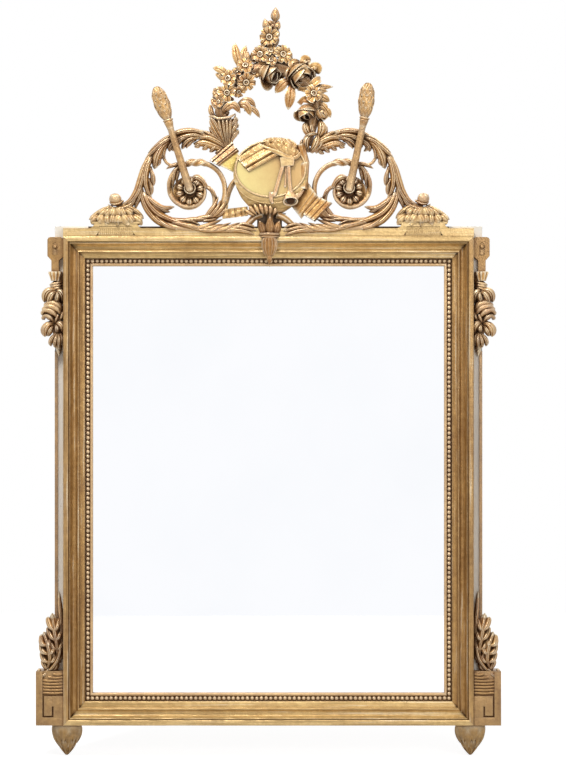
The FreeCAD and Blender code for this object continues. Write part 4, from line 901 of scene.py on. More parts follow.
def volute():
    """The inner volute, its ropes and its leaves."""
    c = Carving()
    line = smooth(places([(214, 216, 4), (221, 206, 5), (224.6, 195, 5), (224.2, 183, 5), (219.6, 172.6, 5),
                          (212, 165.6, 5), (202, 162.2, 6), (191, 162.2, 6), (181, 165.4, 6), (173.6, 172, 6),
                          (169.6, 182, 6), (170, 192.6, 7), (175.4, 201, 7), (184.6, 205.6, 8),
                          (194.6, 204.8, 8),
                          (202, 199.4, 9), (204.6, 192, 9), (203, 186, 8)]), 170)
    count = len(line)
    tube(c, line, (5, 5, 5.0, 5.2, 5.2, 5.2, 5.4, 5.8, 5.8, 5.4, 4), 1.1, 3, 0.08)
    rope = smooth(line[int(0.36 * count):int(0.50 * count)], 70)
    tube(c, rope, (4.5, 6.2, 6.6, 6.6, 6.2, 4.5), 1.1, 3, 0.26, 0.30, 24)
    tube(c, smooth(places([(203, 186, 8), (208.6, 187.6, 7), (212.6, 192.4, 6), (214.4, 200, 5),
                           (212.6, 208.4, 5),
                           (206, 216, 4)]), 40), (3.6, 4.4, 4.8, 4.6, 5), 1.0, 3, 0.10)
    tube(c, smooth(places([(240, 175, 2), (233, 182, 3), (228.4, 191, 4), (225.6, 201, 4), (221.4, 211, 4)]),
                   30),
         (5, 5.4, 5.6, 5.6, 5), 1.0, 3, 0.12)
    tube(c, smooth(places([(163, 155, 8), (164.4, 159.4, 7), (168, 163.6, 7), (175, 165.2, 7),
                           (182, 164.6, 6)]), 30),
         (3.4, 3.0, 2.8, 3.4), 1.0)
    strands(c, [
        ([(184, 163.6, 7), (176, 164.4, 10), (170, 166.4, 9), (165.6, 168.8, 2)], 4.4, SLENDER),
        ([(181, 165.6, 8), (175.6, 170, 11), (173.2, 178, 11), (172, 188, 4)], 5.0),
        ([(179.6, 167, 6), (177.8, 173, 9), (176.6, 179, 8), (176.2, 184, 2)], 3.8, SLENDER),
        ([(177, 168.6, 8), (171.4, 176, 11), (168.6, 186, 11), (170.6, 197, 4)], 4.4, SLENDER),
        ([(206, 188, 7), (202.6, 181.4, 11), (196.4, 177.6, 11), (191, 180.6, 4)], 7.4, CURLED),
        ([(203, 187, 7), (199, 183.4, 9), (194.6, 182.4, 8), (191, 184.6, 2)], 5.0, CURLED),
        ([(241, 174, 4), (234, 181, 7), (229, 190, 7), (227, 200, 2)], 4.4, SLENDER),
        ([(206, 187, 7), (212, 190.4, 9), (215, 195, 7), (217.6, 197.6, 1)], 3.8, SLENDER),
    ])
    return c


def tail_bud():
    """The curled bud at the end of the tail."""
    c = Carving()
    ball(c, at(115.2, 199, 15), 12.4, 18, 24, (1.0, 0.95, 0.92))
    for u in (112.8, 117.4):
        ball(c, at(u, 197.2, 20), 6.2, 12, 16)
    strands(c, [
        ([(123.4, 200, 8), (119, 203.4, 14), (113.4, 204.4, 15), (108.8, 201.6, 6)], 3.4,
         {"crown": 2.4, "vein": 0}),
        ([(136, 199, 5), (128.6, 206, 9), (120, 208.8, 13), (112.4, 208.4, 13), (107.6, 203.8, 6)], 5.4),
        ([(129, 207, 5), (120.4, 211, 10), (112.6, 211, 10), (106.6, 208, 4)], 4.4),
    ])
    return c


def mound():
    """A low cushion of leaves in two tiers with scalloped rims."""
    c = Carving()
    lathe(c, [(44, 0), (48, 1.0), (48, 3.0), (40, 7), (32, 14), (22, 20), (14, 25), (7, 29)],
          at(116, 222.6, 10), UP, 64,
          0.40, fine=30)
    give = np.random.default_rng(9)
    for count, top, rim, half_top, half_rim, ahead in ((8, 213.6, 221.6, 18.5, 27.4, 18),
                                                       (6, 207.8, 214.6, 8.5, 18.5, 18)):
        for i in range(count):
            x = 2 * (i + 0.5) / count - 1
            front = math.sqrt(max(1 - x * x, 0))
            sway = give.uniform(-1.6, 1.6)
            u0, u1 = 116 + half_top * x - sway, 116 + half_rim * x + 1.4 * sway * (1 - x * x)
            drop = rim + give.uniform(-0.5, 0.5) - 1.4 * abs(x) ** 3
            lift = 3 + ahead * front
            blade(c, [(u0, top, lift - 3), (0.5 * (u0 + u1), 0.5 * (top + drop) - 0.5, lift + 3.5),
                      (u1, drop - 1, lift + 4),
                      (u1 + 0.8 * x, drop + 0.4, lift - 1)], 10.4 * give.uniform(0.8, 1.15), full=0.66,
                  base=0.5, crown=4.6,
                  vein=1.6, cup=4.2, edge=1.4, body=4.0, blunt=0.32, veins=2, up=unit(FRONT + 0.5 * UP),
                  ahead=4)
    strands(c, [
        ([(113, 206.8, 8), (105, 208.8, 11), (96, 214.6, 10), (88.4, 219.4, 2)], 5.6),
        ([(120, 206.6, 8), (129, 207.4, 11), (136.6, 212, 10), (143.6, 218.6, 2)], 5.6),
    ], full=0.6, crown=3.4, cup=2.6)
    return c


halves = (("scroll_carved", scroll_leaves(), ["scroll_"], 3), ("volute", volute(), [], 4),
          ("tail_bud", tail_bud(), [], 5),
          ("leaf_mound", mound(), ["pedestal_leaves_"], 6))
for name, half, nodes, seed in halves:
    finish = GILT_CREAM if name == "leaf_mound" else GILT
    half.make(name + "_left", [n + "left" for n in nodes], finish)
    mirrored(half, seed).make(name + "_right", [n + "right" for n in nodes], finish)


def flutes():
    """Fine reeds on the front of the left pedestal."""
    c = Carving()
    slab(c, corners((98.3, 226.2), (133.7, 226.2), (133.7, 236), (98.3, 236)), -50, -58, 0.5)
    for i in range(17):
        u = 99.5 + 2.05 * i
        line = np.array([at(u, v, 0) for v in np.linspace(227.8, 235.2, 10)])
        line[:, 1] = -57.6
        tube(c, line, (0.8, 1.5, 1.5, 1.5, 1.5, 1.5, 1.0), 0.8, sides=10)
    return c


flutes().make("pedestal_flutes_left", material=GILT_RAIL_LIT)
mirrored(flutes()).make("pedestal_flutes_right", material=GILT_RAIL_LIT)


# ---------------------------------------------------------------- rosettes and torches
def rosette():
    """A cup of petals round the torch's foot, in a shallow dish."""
    c = Carving()
    centre = at(190, 191, 8)
    lathe(c, [(33, -6), (34, -2), (32.4, 0), (24, -2.4), (12, -3.4)], at(188.6, 192.6, 8), FRONT, 48, fine=16)
    for i in range(10):
        b = 2 * math.pi * (i + 0.4) / 10
        arm = np.array([math.cos(b), 0, math.sin(b)])
        line = [centre + arm * reach + FRONT * rise for reach, rise in ((11, 1), (17, 7.5), (23, 9), (28, 2))]
        blade(c, line, 7.0, lobes=0, full=0.62, base=0.5, crown=3.4, vein=1.8, cup=2.2, edge=1.6, body=4,
              up=FRONT, flat=True, blunt=0.4)
    lathe(c, [(8, -6), (9.4, 6), (11.4, 12), (11.8, 14.4), (10.8, 15.4), (9.4, 14.2), (8.0, 8), (7.0, 3)],
          at(190, 190.6, 10),
          unit(FRONT + 0.3 * UP), 32)
    return c


def torch(foot, collar, tip, mirror=False):
    """A turned handle from foot to collar with a scaled flame up to the tip."""
    c = Carving()
    base, top, end = at(*foot, 19), at(*collar, 27), at(*tip, 29)
    way = top - base
    length = np.linalg.norm(way)
    lathe(c, [(8.6, 0), (8.4, 6), (7.6, 0.35 * length), (6.8, 0.8 * length), (6.4, length - 8),
              (6.8, length - 2)],
          base, way, 20)
    lathe(c, [(6.8, -6), (7.2, -2), (8.2, 3), (9.2, 7.4), (9.0, 8.4), (8.4, 9.0), (9.4, 10.0), (10.4, 11.4),
              (10.6, 12.6),
              (9.8, 13.6), (7.0, 14)], top, way, 28)
    ball(c, base + unit(way) * 1.5, 8.4, 12, 18)
    start = top + unit(way) * 13
    lean = end - start
    height = np.linalg.norm(lean)
    scales(c, start, lean, [(6.5, 0), (9.0, 0.08 * height), (13.0, 0.30 * height), (14.2, 0.50 * height),
                            (13.2, 0.72 * height), (8.6, 0.90 * height), (4.0, 0.985 * height),
                            (1.0, height)], 6, 8, 2.4,
           1.0, 0.95, 0.12)
    return mirrored(c) if mirror else c


rosette().make("rosette_bloom_left", ["rosette_left"])
mirrored(rosette(), 8).make("rosette_bloom_right", ["rosette_right"])
torch((190, 190.5), (170, 126.5), (156, 87.5)).make("torch_left_turned", ["torch_left"], GILT_SCALES)
torch((190, 190.5), (176, 124.5), (171, 83.5), True).make("torch_right_turned", ["torch_right"], GILT_SCALES)


# ---------------------------------------------------------------- wreath
def foliage(carving, line, count, size, spread, seed):
    """Small leaves that sprout at all angles from a branch and hide it."""
    give = np.random.default_rng(seed)
    line = smooth(places(line), 60)
    for i in range(count):
        root = line[int(59 * (i + 0.5) / count)]
        angle = give.uniform(0, 2 * math.pi)
        arm = np.array([math.cos(angle), 0, math.sin(angle)])
        reach = spread * give.uniform(0.55, 1.0)
        tip = root + arm * reach + FRONT * give.uniform(-2, 5)
        knee = root + arm * 0.55 * reach + FRONT * give.uniform(5, 9)
        blade(carving, [root, knee, tip], size * give.uniform(0.8, 1.2), full=0.55, base=0.4, crown=2.6,
              vein=1.4,
              cup=give.uniform(-2, 2), veins=4, edge=1.2, body=2.4, flat=True, blunt=0.6)


def wreath():
    """The wreath's pieces, each with its name and the CAD node it replaces."""
    branch = Carving()
    tube(branch, smooth(places([(224, 143, 6), (221, 120, 8), (222, 104, 9), (230, 88, 9), (245, 74, 9),
                                (270.5, 66, 9),
                                (295, 73, 9), (311, 88, 9), (316, 106, 9), (312, 124, 8), (308, 145, 5)]),
                        90),
         (9, 11, 12, 13, 13, 12, 12, 11, 8), 0.85, 6, 0.12, 0.05)
    tube(branch, smooth(places([(270, 70, 8), (269.5, 52, 8), (271, 36, 8), (274, 20, 8)]), 40),
         (10, 8, 6, 3), 1.0,
         4, 0.12, 0.08)
    leaves(branch, [
        ([(221, 116), (217, 104, 4), (216, 94, 3), (212, 98, 0)], 8, 8, 2, 6),
        ([(222, 112), (224, 100, 5), (230, 92, 5), (238, 88, 0)], 10, 10, 3, 10),
        ([(226, 92), (236, 80, 5), (248, 72, 5), (260, 68, 0)], 14, 12, 3, 8),
        ([(252, 74), (262, 68, 5), (274, 66, 5), (286, 70, 0)], 14, 12, 3, 8),
        ([(288, 70), (300, 78, 5), (310, 88, 5), (314, 98, 0)], 12, 12, 3, 8),
        ([(314, 96), (318, 104, 4), (318, 112, 4), (314, 120, 0)], 12, 10, 3, 8),
        ([(262, 66), (258, 58, 4), (258, 50, 4), (262, 44, 0)], 9, 9, 2, 6),
        ([(278, 66), (284, 58, 4), (284, 50, 4), (278, 44, 0)], 9, 9, 2, 6),
        ([(268, 50), (264, 40, 4), (264, 32, 4), (267, 26, 0)], 7, 7, 2, 6),
        ([(272, 50), (276, 40, 4), (277, 32, 4), (276, 26, 0)], 7, 7, 2, 6),
    ], crown=3.5, ridge=1.8, vein=1.0, cup=2.5)
    foliage(branch, [(223, 112, 8), (222, 102, 8), (229, 89, 8), (243, 76, 8), (262, 67, 8)], 46, 7.5, 21, 31)
    foliage(branch, [(262, 66, 8), (284, 66, 8), (300, 76, 8), (313, 92, 8), (314, 116, 8)], 34, 7.0, 17, 32)
    foliage(branch, [(270, 64, 8), (270, 50, 8), (270, 36, 8), (272, 26, 7)], 30, 7.0, 17, 33)
    sheath = Carving()
    lathe(sheath, [(9, 0), (14, 14), (18, 36), (22, 54), (21, 57), (17, 50), (14, 40)], at(224, 147, 10),
          unit(UP), 32, 0.5)
    strands(sheath, [
        ([(222, 147, 5), (215, 139.4, 6), (211, 134, 4), (209, 131.6, 0)], 4.6),
        ([(223, 147, 6), (215.4, 136, 8), (211, 129, 6), (208.6, 126, 1)], 5.2),
        ([(225, 147, 7), (217, 133, 11), (211.6, 123, 10), (209.6, 118.4, 4)], 5.8),
        ([(227, 147, 9), (220.6, 134, 15), (214.6, 122.4, 16), (209, 116.2, 9)], 5.4),
        ([(226, 147, 9), (221.6, 134, 17), (219.4, 124, 19), (218.6, 117.8, 14)], 4.4),
        ([(227, 147, 9), (224.8, 134, 18), (223.4, 124, 20), (222.8, 117.8, 15)], 4.4),
        ([(228, 147, 9), (227.4, 134, 18), (227, 124, 20), (226.8, 117.8, 15)], 4.4),
        ([(229, 147, 9), (229.8, 134, 17), (230.4, 124, 19), (231, 117.4, 14)], 4.6),
        ([(230, 147, 8), (233, 134, 14), (234.6, 122.6, 15), (235.8, 114.4, 9)], 5.4),
    ], full=0.6, base=0.6, crown=3.8, vein=1.6)
    strands(sheath, [
        ([(229.6, 143, 10), (233.6, 137, 15), (237, 131.4, 10), (238.4, 134, 2)], 5.0),
        ([(229.6, 136, 13), (233.4, 130, 17), (236.6, 124.6, 11), (237.8, 127.8, 3)], 5.0),
        ([(230, 129, 14), (233, 124, 17), (236, 119.4, 11), (237, 122.8, 4)], 4.6),
    ], **CURLED)
    tube(sheath, smooth(places([(209, 116.2, 13), (213, 116.6, 20), (218, 118.8, 24), (224, 118.6, 25),
                                (230, 117.4, 24),
                                (235.4, 113.8, 15)]), 40), (1.4, 2.4, 2.6, 2.6, 2.4, 1.4), 1.0, sides=12)
    husk = Carving()
    strands(husk, [
        ([(306, 152, 3), (302.6, 147, 6), (302, 142, 5), (303.4, 138, 1)], 5.0),
        ([(322, 138, 4), (325, 132, 7), (325.4, 127, 5), (324, 123, 1)], 5.4),
        ([(318, 138, 6), (321.6, 130, 12), (321.6, 125, 11), (319.6, 119.4, 4)], 9.0),
        ([(314, 136, 8), (312, 130, 11), (311.6, 126, 9), (313, 121.6, 3)], 6.0),
        ([(311, 137, 6), (307, 131, 13), (305.6, 126, 12), (306.6, 121.4, 4)], 8.0),
        ([(318, 134, 8), (312.4, 134, 15), (307.6, 135.6, 14), (303.4, 138.4, 4)], 5.0),
        ([(311, 152, 5), (318.6, 147, 11), (321.6, 141, 10), (321.4, 135.4, 2)], 6.0),
        ([(309.6, 152, 7), (314.4, 146.6, 16), (317, 140, 16), (317.6, 133.6, 6)], 7.6),
        ([(309.6, 152, 6), (306.4, 145, 15), (307.4, 139, 16), (312, 134.6, 6)], 7.0),
    ], full=0.5, base=0.6, crown=4.2, vein=2.2, veins=3)
    roses = Carving()
    rose(roses, at(271.5, 74, 14), unit([0.72, -0.5, -0.42]), 22.5, 0.9, 3, seed=1)
    rose(roses, at(300.5, 75.4, 16), unit([0.42, -0.62, -0.62]), 26, 1.2, 4, seed=2)
    rose(roses, at(306.5, 113.5, 14), unit([0.12, -0.46, -0.86]), 20.5, 2.2, 3, seed=3)
    strands(roses, [
        ([(288, 80, 8), (286.4, 73.6, 16), (290, 67.4, 10), (296, 64.8, 4)], 6),
        ([(292, 72, 22), (298, 67.6, 26), (305, 68.4, 24), (311, 74.6, 10)], 6.6),
        ([(260.6, 79, 6), (260.6, 72, 16), (264.6, 66.4, 14), (271, 64.4, 6)], 6),
    ], full=0.55, base=0.5, crown=3.4, vein=0.5, cup=4.4, body=4.0, blunt=0.34, veins=3, edge=1.6)
    rose(roses, at(321, 113, 12), unit([0.75, -0.6, 0.1]), 14, 2.2, 4, seed=4)
    for points, width in (([(294, 68, 12), (291, 64.6, 15), (294, 62.4, 8), (300, 63.4, 4)], 8),
                          ([(302, 66, 12), (303, 61.6, 17), (305.4, 59.4, 12), (309, 62.4, 4)], 9),
                          ([(309, 70, 12), (314, 66.4, 16), (317.6, 68, 12), (316, 73, 4)], 9),
                          ([(305, 86, 8), (312, 84.6, 14), (318, 80, 12), (321, 79, 4)], 8),
                          ([(298, 88, 8), (305, 89.6, 12), (312, 88.6, 10), (318, 85, 3)], 7),
                          ([(299, 104, 10), (303, 100, 14), (310, 100.6, 14), (316, 105, 8)], 8),
                          ([(258, 70, 8), (262, 63.4, 13), (270, 61, 13), (279, 62.6, 6)], 9)):
        blade(roses, points, width, crown=2.4, vein=0.8, cup=-3.0, body=2.6, full=0.6, base=0.7, blunt=0.4,
              ahead=4)
    daisies = Carving()
    for k, (u, v, radius, count, ahead, tilt) in enumerate((
            (269.2, 37, 19, 8, 16, (0, -1, -0.1)), (261, 54.5, 18, 6, 18, (-0.35, -1, 0)),
            (282.5, 54.5, 18, 7, 16, (0.3, -1, 0.1)), (245.5, 66.5, 17, 6, 16, (-0.1, -1, 0.5)),
            (228.6, 79, 17, 6, 18, (-0.3, -1, 0.2)), (246, 82.5, 18, 8, 20, (0.1, -1, -0.2)),
            (227.5, 93, 18, 6, 18, (-0.2, -1, 0)), (313, 94.5, 19, 6, 20, (0.3, -1, 0.3)),
            (287.5, 58.5, 13, 6, 12, (0.7, -1, 0.1)), (238.5, 91.5, 12, 5, 20, (0.2, -1, -0.5)),
            (219, 102, 12, 5, 14, (-0.4, -1, 0.2)), (237, 72, 12, 5, 12, (-0.5, -1, 0.6)),
            (271, 52, 14, 7, 18, (0.0, -1, 0.7)), (271, 61, 13, 6, 22, (0.1, -1, 0.4)),
            (253, 73, 14, 6, 14, (0.3, -1, 0.5)),
            (236, 84, 13, 6, 14, (-0.2, -1, -0.3)), (219, 92, 12, 6, 12, (-0.5, -1, 0.1)),
            (229, 102, 12, 6, 14, (0.2, -1, -0.2)),
            (253, 58, 11, 6, 10, (-0.7, -1, 0.1)), (266, 46, 11, 5, 10, (-0.3, -1, 0.5)),
            (319, 91, 12, 6, 12, (0.6, -1, 0.2)))):
        daisy(daisies, at(u, v, ahead), unit(tilt), radius, count, 0.3 * k, k)
    simple = Carving()
    leaves(simple, [
        ([(242, 70), (237, 57, 6), (234, 41, 0)], 9, 9, 0, 6),
        ([(243, 68), (243, 56, 6), (246, 44, 0)], 8, 8, 0, 3),
        ([(247, 66), (247, 57, 3), (247.5, 50, 0)], 6, 6, 0, 8),
        ([(230, 77), (221, 70, 5), (212.5, 67, 0)], 8, 8, 0, 9),
        ([(226, 82), (220, 76, 4), (215, 73, 0)], 6, 6, 0, 8),
        ([(224, 90), (218, 89.5, 4), (213, 92, 0)], 6, 6, 0, 8),
        ([(226, 106), (217, 106, 5), (211, 97, 0)], 7, 7, 0, 8),
        ([(216, 118), (211, 112, 3), (210, 103, 0)], 5, 6, 0, 5),
        ([(222, 114), (226, 108.4, 8), (234, 105.6, 10), (240.6, 113.4, 2)], 8, 8, 0, 14),
        ([(236, 107), (242.4, 104.6, 7), (247.4, 106.6, 7), (250.6, 115.4, 1)], 8, 9, 0, 10),
        ([(236, 105), (244, 100.6, 6), (250.4, 100.6, 5), (256, 107, 0)], 6, 7, 0, 9),
        ([(244, 110), (251, 108, 5), (256, 111, 4), (260, 117.5, 0)], 5, 6, 0, 6),
        ([(291, 80), (284, 83, 5), (275, 92.5, 0)], 10, 11, 0, 9),
        ([(292, 82), (290.5, 94, 6), (288, 109.5, 0)], 11, 11, 0, 9),
        ([(303, 88), (298, 84, 3), (291, 78, 0)], 4, 4, 0, 10),
        ([(306, 90), (318, 87, 5), (333.5, 86, 0)], 6, 6, 0, 6),
        ([(308, 92), (318, 90, 5), (328, 91, 0)], 6, 6, 0, 10),
        ([(316, 98), (322, 97, 5), (330, 101, 0)], 8, 8, 0, 8),
        ([(304, 98), (309, 99, 5), (313, 104, 0)], 7, 7, 0, 12),
        ([(314, 104), (323, 106, 6), (331, 117, 0)], 9, 9, 2, 8),
        ([(318, 108), (323, 113, 4), (325, 120, 0)], 7, 7, 0, 9),
        ([(300, 66), (307, 62, 5), (304, 59.5, 0)], 9, 9, 0, 8),
        ([(306, 72), (312, 67, 6), (317, 70, 0)], 9, 9, 0, 12),
        ([(310, 82), (315, 79, 5), (319, 79, 0)], 7, 7, 0, 6),
        ([(286, 66), (293, 64, 5), (300, 62, 0)], 6, 6, 0, 12),
    ], crown=3.2, vein=1.5, cup=-1.0, veins=5, body=2.2, edge=1.1, full=0.5)
    finial = Carving()
    for centre, axis, height, wide in (((275, 20.5), (0.06, 0, 1), 28, 8.2),
                                       ((267.3, 29), (-0.25, 0, 1), 23, 7),
                                       ((276, 29), (0.32, 0, 1), 19, 6.4)):
        place = at(*centre, 9)
        lathe(finial, [(2.5, -2), (0.7 * wide, 0.1 * height), (0.88 * wide, 0.3 * height),
                       (0.8 * wide, 0.55 * height),
                       (0.42 * wide, 0.85 * height), (0.5, height)], place, axis, 20, fine=16)
        e = basis(axis)
        for i in range(6):
            b = 2 * math.pi * i / 6 + 0.4
            arm = math.cos(b) * e[0] + math.sin(b) * e[1]
            line = [place + arm * (wide * r) + e[2] * (height * h)
                    for r, h in ((0.3, -0.05), (0.95, 0.2), (0.98, 0.45), (0.55, 0.86))]
            blade(finial, line, 0.5 * wide, crown=0.8, vein=0.6, edge=0.8, body=1.0, up=arm, flat=True,
                  full=0.5)
    tube(finial, smooth(places([(271, 34, 8), (273, 26, 8), (275, 19, 9)]), 12), 3, 1.0)
    return (("wreath_branch_carved", branch, "wreath_branch"),
            ("wreath_sheath_carved", sheath, "wreath_sheath"),
            ("wreath_husk_carved", husk, "wreath_husk"), ("wreath_roses_carved", roses, "wreath_roses"),
            ("wreath_daisies_carved", daisies, "wreath_daisies"),
            ("wreath_leaves_carved", simple, "wreath_leaves"),
            ("wreath_finial_carved", finial, "wreath_finial"))


# the branch and its leaves in the darker gilding: painted shade behind the flowers
for name, carving, node in wreath():
    carving.make(name, [node], GILT_DARK if node == "wreath_branch" else GILT)


# ---------------------------------------------------------------- trophy
def drum_ring(v, half_w, half_h, front, tilt=0.0, count=96):
    """One level of the drum, an oval in relief."""
    angle = np.linspace(0, 2 * math.pi, count, endpoint=False)
    x, z = half_w * UNIT * np.cos(angle), half_h * UNIT * np.sin(angle)
    middle = at(270.5, v)
    return np.stack([middle[0] + x, BACK - front - tilt * (-z) + 0 * x, middle[2] + z], -1)


def trophy():
    drum = Carving()
    levels = [(169.6, 33.5, 26.6, 25, 0.12), (169.6, 35.0, 28.0, 30, 0.12), (170.2, 36.0, 28.8, 31.0, 0.12),
              (171.2, 36.4, 29.0, 31, 0.12),
              (175.6, 36.6, 28.6, 29, 0.10), (176.6, 36.2, 28.0, 27.6, 0.10), (181, 35.2, 27.0, 26, 0.06),
              (187, 32.6, 24.6, 23, 0.02), (193, 28.2, 21.2, 19, 0.0), (198.5, 22.0, 17.2, 13, 0.0),
              (203, 14.0, 13.2, 6, 0.0), (205, 8.0, 11.0, -3, 0.0)]
    drum.rings(np.array([drum_ring(*level) for level in levels]))
    drum.rings(np.array([drum_ring(169.6, 30.5, 24.5, -2), drum_ring(169.6, 32.0, 25.5, 20)]))
    hoop = drum_ring(175.6, 36.5, 28.5, 28.6, 0.12, 120)
    tube(drum, np.vstack([hoop, hoop[:1]]), 1.1, 1.0, 0, sides=8)
    drum_leaves = Carving()
    leaves(drum_leaves, [
        ([(255, 216), (250, 213.6, 5), (245.4, 210, 1)], 4.6, 4.6, 0, 26),
        ([(257, 215), (252.4, 210.6, 6), (249.4, 206.4, 1)], 4.8, 4.8, 0, 28),
        ([(260, 215), (257, 209.6, 6), (254.4, 204.8, 1)], 4.8, 4.8, 0, 30),
        ([(263.4, 215), (261.6, 209, 6), (259.6, 204.4, 1)], 4.8, 4.8, 0, 31),
        ([(266.8, 215), (266.2, 209.4, 6), (264.8, 204.8, 1)], 4.8, 4.8, 0, 31),
        ([(270, 215), (270.6, 210, 6), (270, 206, 1)], 4.6, 4.6, 0, 30),
        ([(273, 215.6), (275, 211.6, 5), (275.4, 208.4, 1)], 4.2, 4.2, 0, 29),
    ], crown=3.4, vein=0.6, cup=3.0, full=0.6, blunt=0.4)
    for points in ([(262, 214, 18), (255, 217, 19), (250, 222, 20), (245, 227, 18)],
                   [(277, 215, 18), (283, 217.5, 19), (288, 221, 20), (293, 226, 18)],
                   [(270, 210, 16), (270, 219, 18), (270, 228, 19)]):
        tube(drum_leaves, smooth(places(points), 24), (6.5, 6, 5.4), 1.0, 4, 0.12)
    # painted shade: a dark slab in the gap under the drum
    shade = Carving()
    slab(shade, corners((252, 213), (286, 213), (283, 219), (277, 224), (262, 224), (256, 219)), -36, -46, 1)
    head = Carving()
    head.rings(np.array([drum_ring(169.4, 34.6 * k, 27.6 * k, h, 0.12) for k, h in
                         ((1.0, 24), (1.0, 30.4), (0.94, 31.0), (0.6, 31.8), (0.3, 32.2), (0.03, 32.3))]))
    rim = Carving()
    ring = drum_ring(169.6, 34.9, 27.9, 33.0, 0.12, 160)
    tube(rim, np.vstack([ring, ring[:1]]), 1.9, 1.0, 0, sides=10)
    books = Carving()
    strip(books, [(209.5, 160), (219, 166)], [(231, 140.8), (239, 151)],
          [(0, 12), (0.1, 19), (0.24, 20), (0.3, 17), (0.38, 20), (0.7, 22), (0.76, 19), (0.86, 21), (1, 16)],
          14)
    pages = Carving()
    strip(pages, [(218, 164.4), (234, 172.4)], [(238, 150), (240, 168)],
          [(0, 14), (0.1, 17), (0.5, 18.5), (1, 15)], 12)
    sheet = Carving()
    strip(sheet, [(236, 157.5), (249, 172.5)], [(259, 143.5), (281, 154.5)],
          [(0, 26), (0.1, 31), (0.3, 33), (0.38, 30), (0.46, 33), (0.56, 38), (0.68, 41), (0.74, 36),
           (0.78, 33),
           (0.84, 39), (0.93, 40), (1, 36)], 14, wave=0.4)
    tools = Carving()
    slab(sheet, corners((280, 158.5), (292, 158), (294.5, 160), (293.5, 166.5), (281, 167.5)), BACK - 24,
         BACK - 44, 1.4)
    for points, r in (([(283, 166, 40), (279, 180, 42), (274.8, 195, 44)], 3.2),
                      ([(288.5, 166, 40), (289.2, 180, 42), (290.6, 194, 44)], 3.2),
                      ([(286, 166, 36), (286, 177, 37), (285, 188, 38)], 1.8)):
        tube(tools, smooth(places(points), 20), r, 0.8, 4, 0.06)
    ball(tools, at(273, 195.5, 44), 6.0, 10, 14, (1.1, 0.8, 0.8))
    tube(tools, smooth(places([(271.5, 193, 43), (271, 199, 43), (272.5, 204, 40)]), 14), (4.5, 4, 2.4), 0.9)
    lathe(tools, [(6, -22), (9, -12), (12, -4), (13.2, 2), (14.6, 4.4), (14.8, 6), (13.4, 6.8), (11.8, 5.2),
                  (10.6, 0), (9, -6),
                  (4, -8)], at(290.4, 200, 44), unit([0.05, -0.56, -0.78]), 36, fine=30)
    # painted shade: a dark ball in the horn's mouth
    ball(shade, at(290.6, 201.9, 47.4), 10.4, 14, 24, (1.0, 0.3, 0.56))
    tube(tools, smooth(places([(293, 199, 34), (299, 195, 30), (303, 190, 26)]), 20), (7, 5, 3), 1.0)
    cap = Carving()
    n, m = 50, 110
    t = np.linspace(0, 1, n)[:, None]
    s = np.linspace(-1, 1, m)[None]
    top = smooth(places([(259, 146, 8), (264, 139.5, 14), (272, 137.5, 18), (284, 138, 18), (293, 140.5, 14),
                         (301, 148, 8)]), m)
    low = smooth(places([(262, 147, 26), (270, 149.5, 34), (279, 153, 38), (288, 157.5, 38), (296, 157, 34),
                         (302, 151, 22)]), m)
    front = top[None] * (1 - t[..., None]) + low[None] * t[..., None]
    bulge = 11 * np.sin(math.pi * np.clip(t, 0, 1)) ** 0.8 * (1 - s ** 4)
    creases = (3.4 * (1 - np.abs(np.sin(4.2 * s + 2.6 * t + 0.8 * np.sin(5 * t + 3 * s))) ** 0.6)
               + 2.2 * (1 - np.abs(np.sin(7.5 * s - 4.2 * t + 1.1 * np.sin(4 * s))) ** 0.6)
               + 1.2 * np.sin(21 * s + 9 * t))
    front = front + (bulge - 1.7 * creases * np.sin(math.pi * t) ** 0.5)[..., None] * unit(FRONT + 0.5 * UP)
    cap.shell(front, front - 9 * unit(FRONT + 0.3 * UP))
    tube(cap, smooth(places([(262, 146.5, 28), (270, 150, 37), (279, 154, 41), (288, 158.5, 41),
                             (296, 158, 37),
                             (301, 153, 26)]), 50), (3, 4, 4, 4, 3), 1.0, 3, 0.15, 0.12)
    rolls = Carving()
    strip(rolls, [(297, 145.6), (304.5, 143.4)], [(301, 165), (309.6, 163)],
          [(0, 24), (0.2, 30), (0.6, 31), (0.8, 26), (1, 22)], 8)
    strip(rolls, [(301, 164), (309.6, 162)], [(298.4, 188), (307.6, 190)],
          [(0, 30), (0.3, 34), (0.7, 32), (1, 20)], 8)
    tube(rolls, smooth(places([(302.8, 147, 24), (305.4, 156, 27), (306.4, 166, 29), (304.4, 178, 29),
                               (300.4, 187, 28)]), 40),
         (2, 3.2, 3.4, 3, 2), 0.9, 3, 0.12)
    strip(rolls, [(306, 181), (318.4, 197)], [(290.6, 205), (301.4, 218.6)],
          [(0, 12), (0.12, 19), (0.4, 22), (0.62, 23), (0.68, 21.4), (0.8, 22.4), (1, 18)], 14)
    strip(rolls, [(317.4, 196.6), (332.4, 203.2)], [(302, 213.6), (315, 221.4)],
          [(0, 16), (0.08, 22), (0.24, 23), (0.3, 20.8), (0.4, 22), (0.6, 23), (0.66, 21), (0.74, 23),
           (0.9, 24), (1, 18)], 16)
    ribbon = Carving()
    strip(ribbon, [(221.5, 209.4), (247.5, 206.4)], [(222.5, 218.8), (248, 215.8)],
          [(0, 14), (0.03, 15), (0.13, 17.6), (0.24, 16.4), (0.26, 14.6), (0.37, 18), (0.48, 16.8),
           (0.50, 15), (0.61, 18.6),
           (0.72, 17.4), (0.74, 15.4), (0.85, 19), (1, 16)], 3, 16, wave=0.9)
    return drum, head, rim, books, sheet, tools, cap, rolls, ribbon, pages, shade, drum_leaves


drum, head, rim, books, sheet, tools, cap, rolls, ribbon, pages, shade, drum_leaves = trophy()
drum.make("drum_bowl", ["trophy_drum"], GILT_RAIL_LIT)
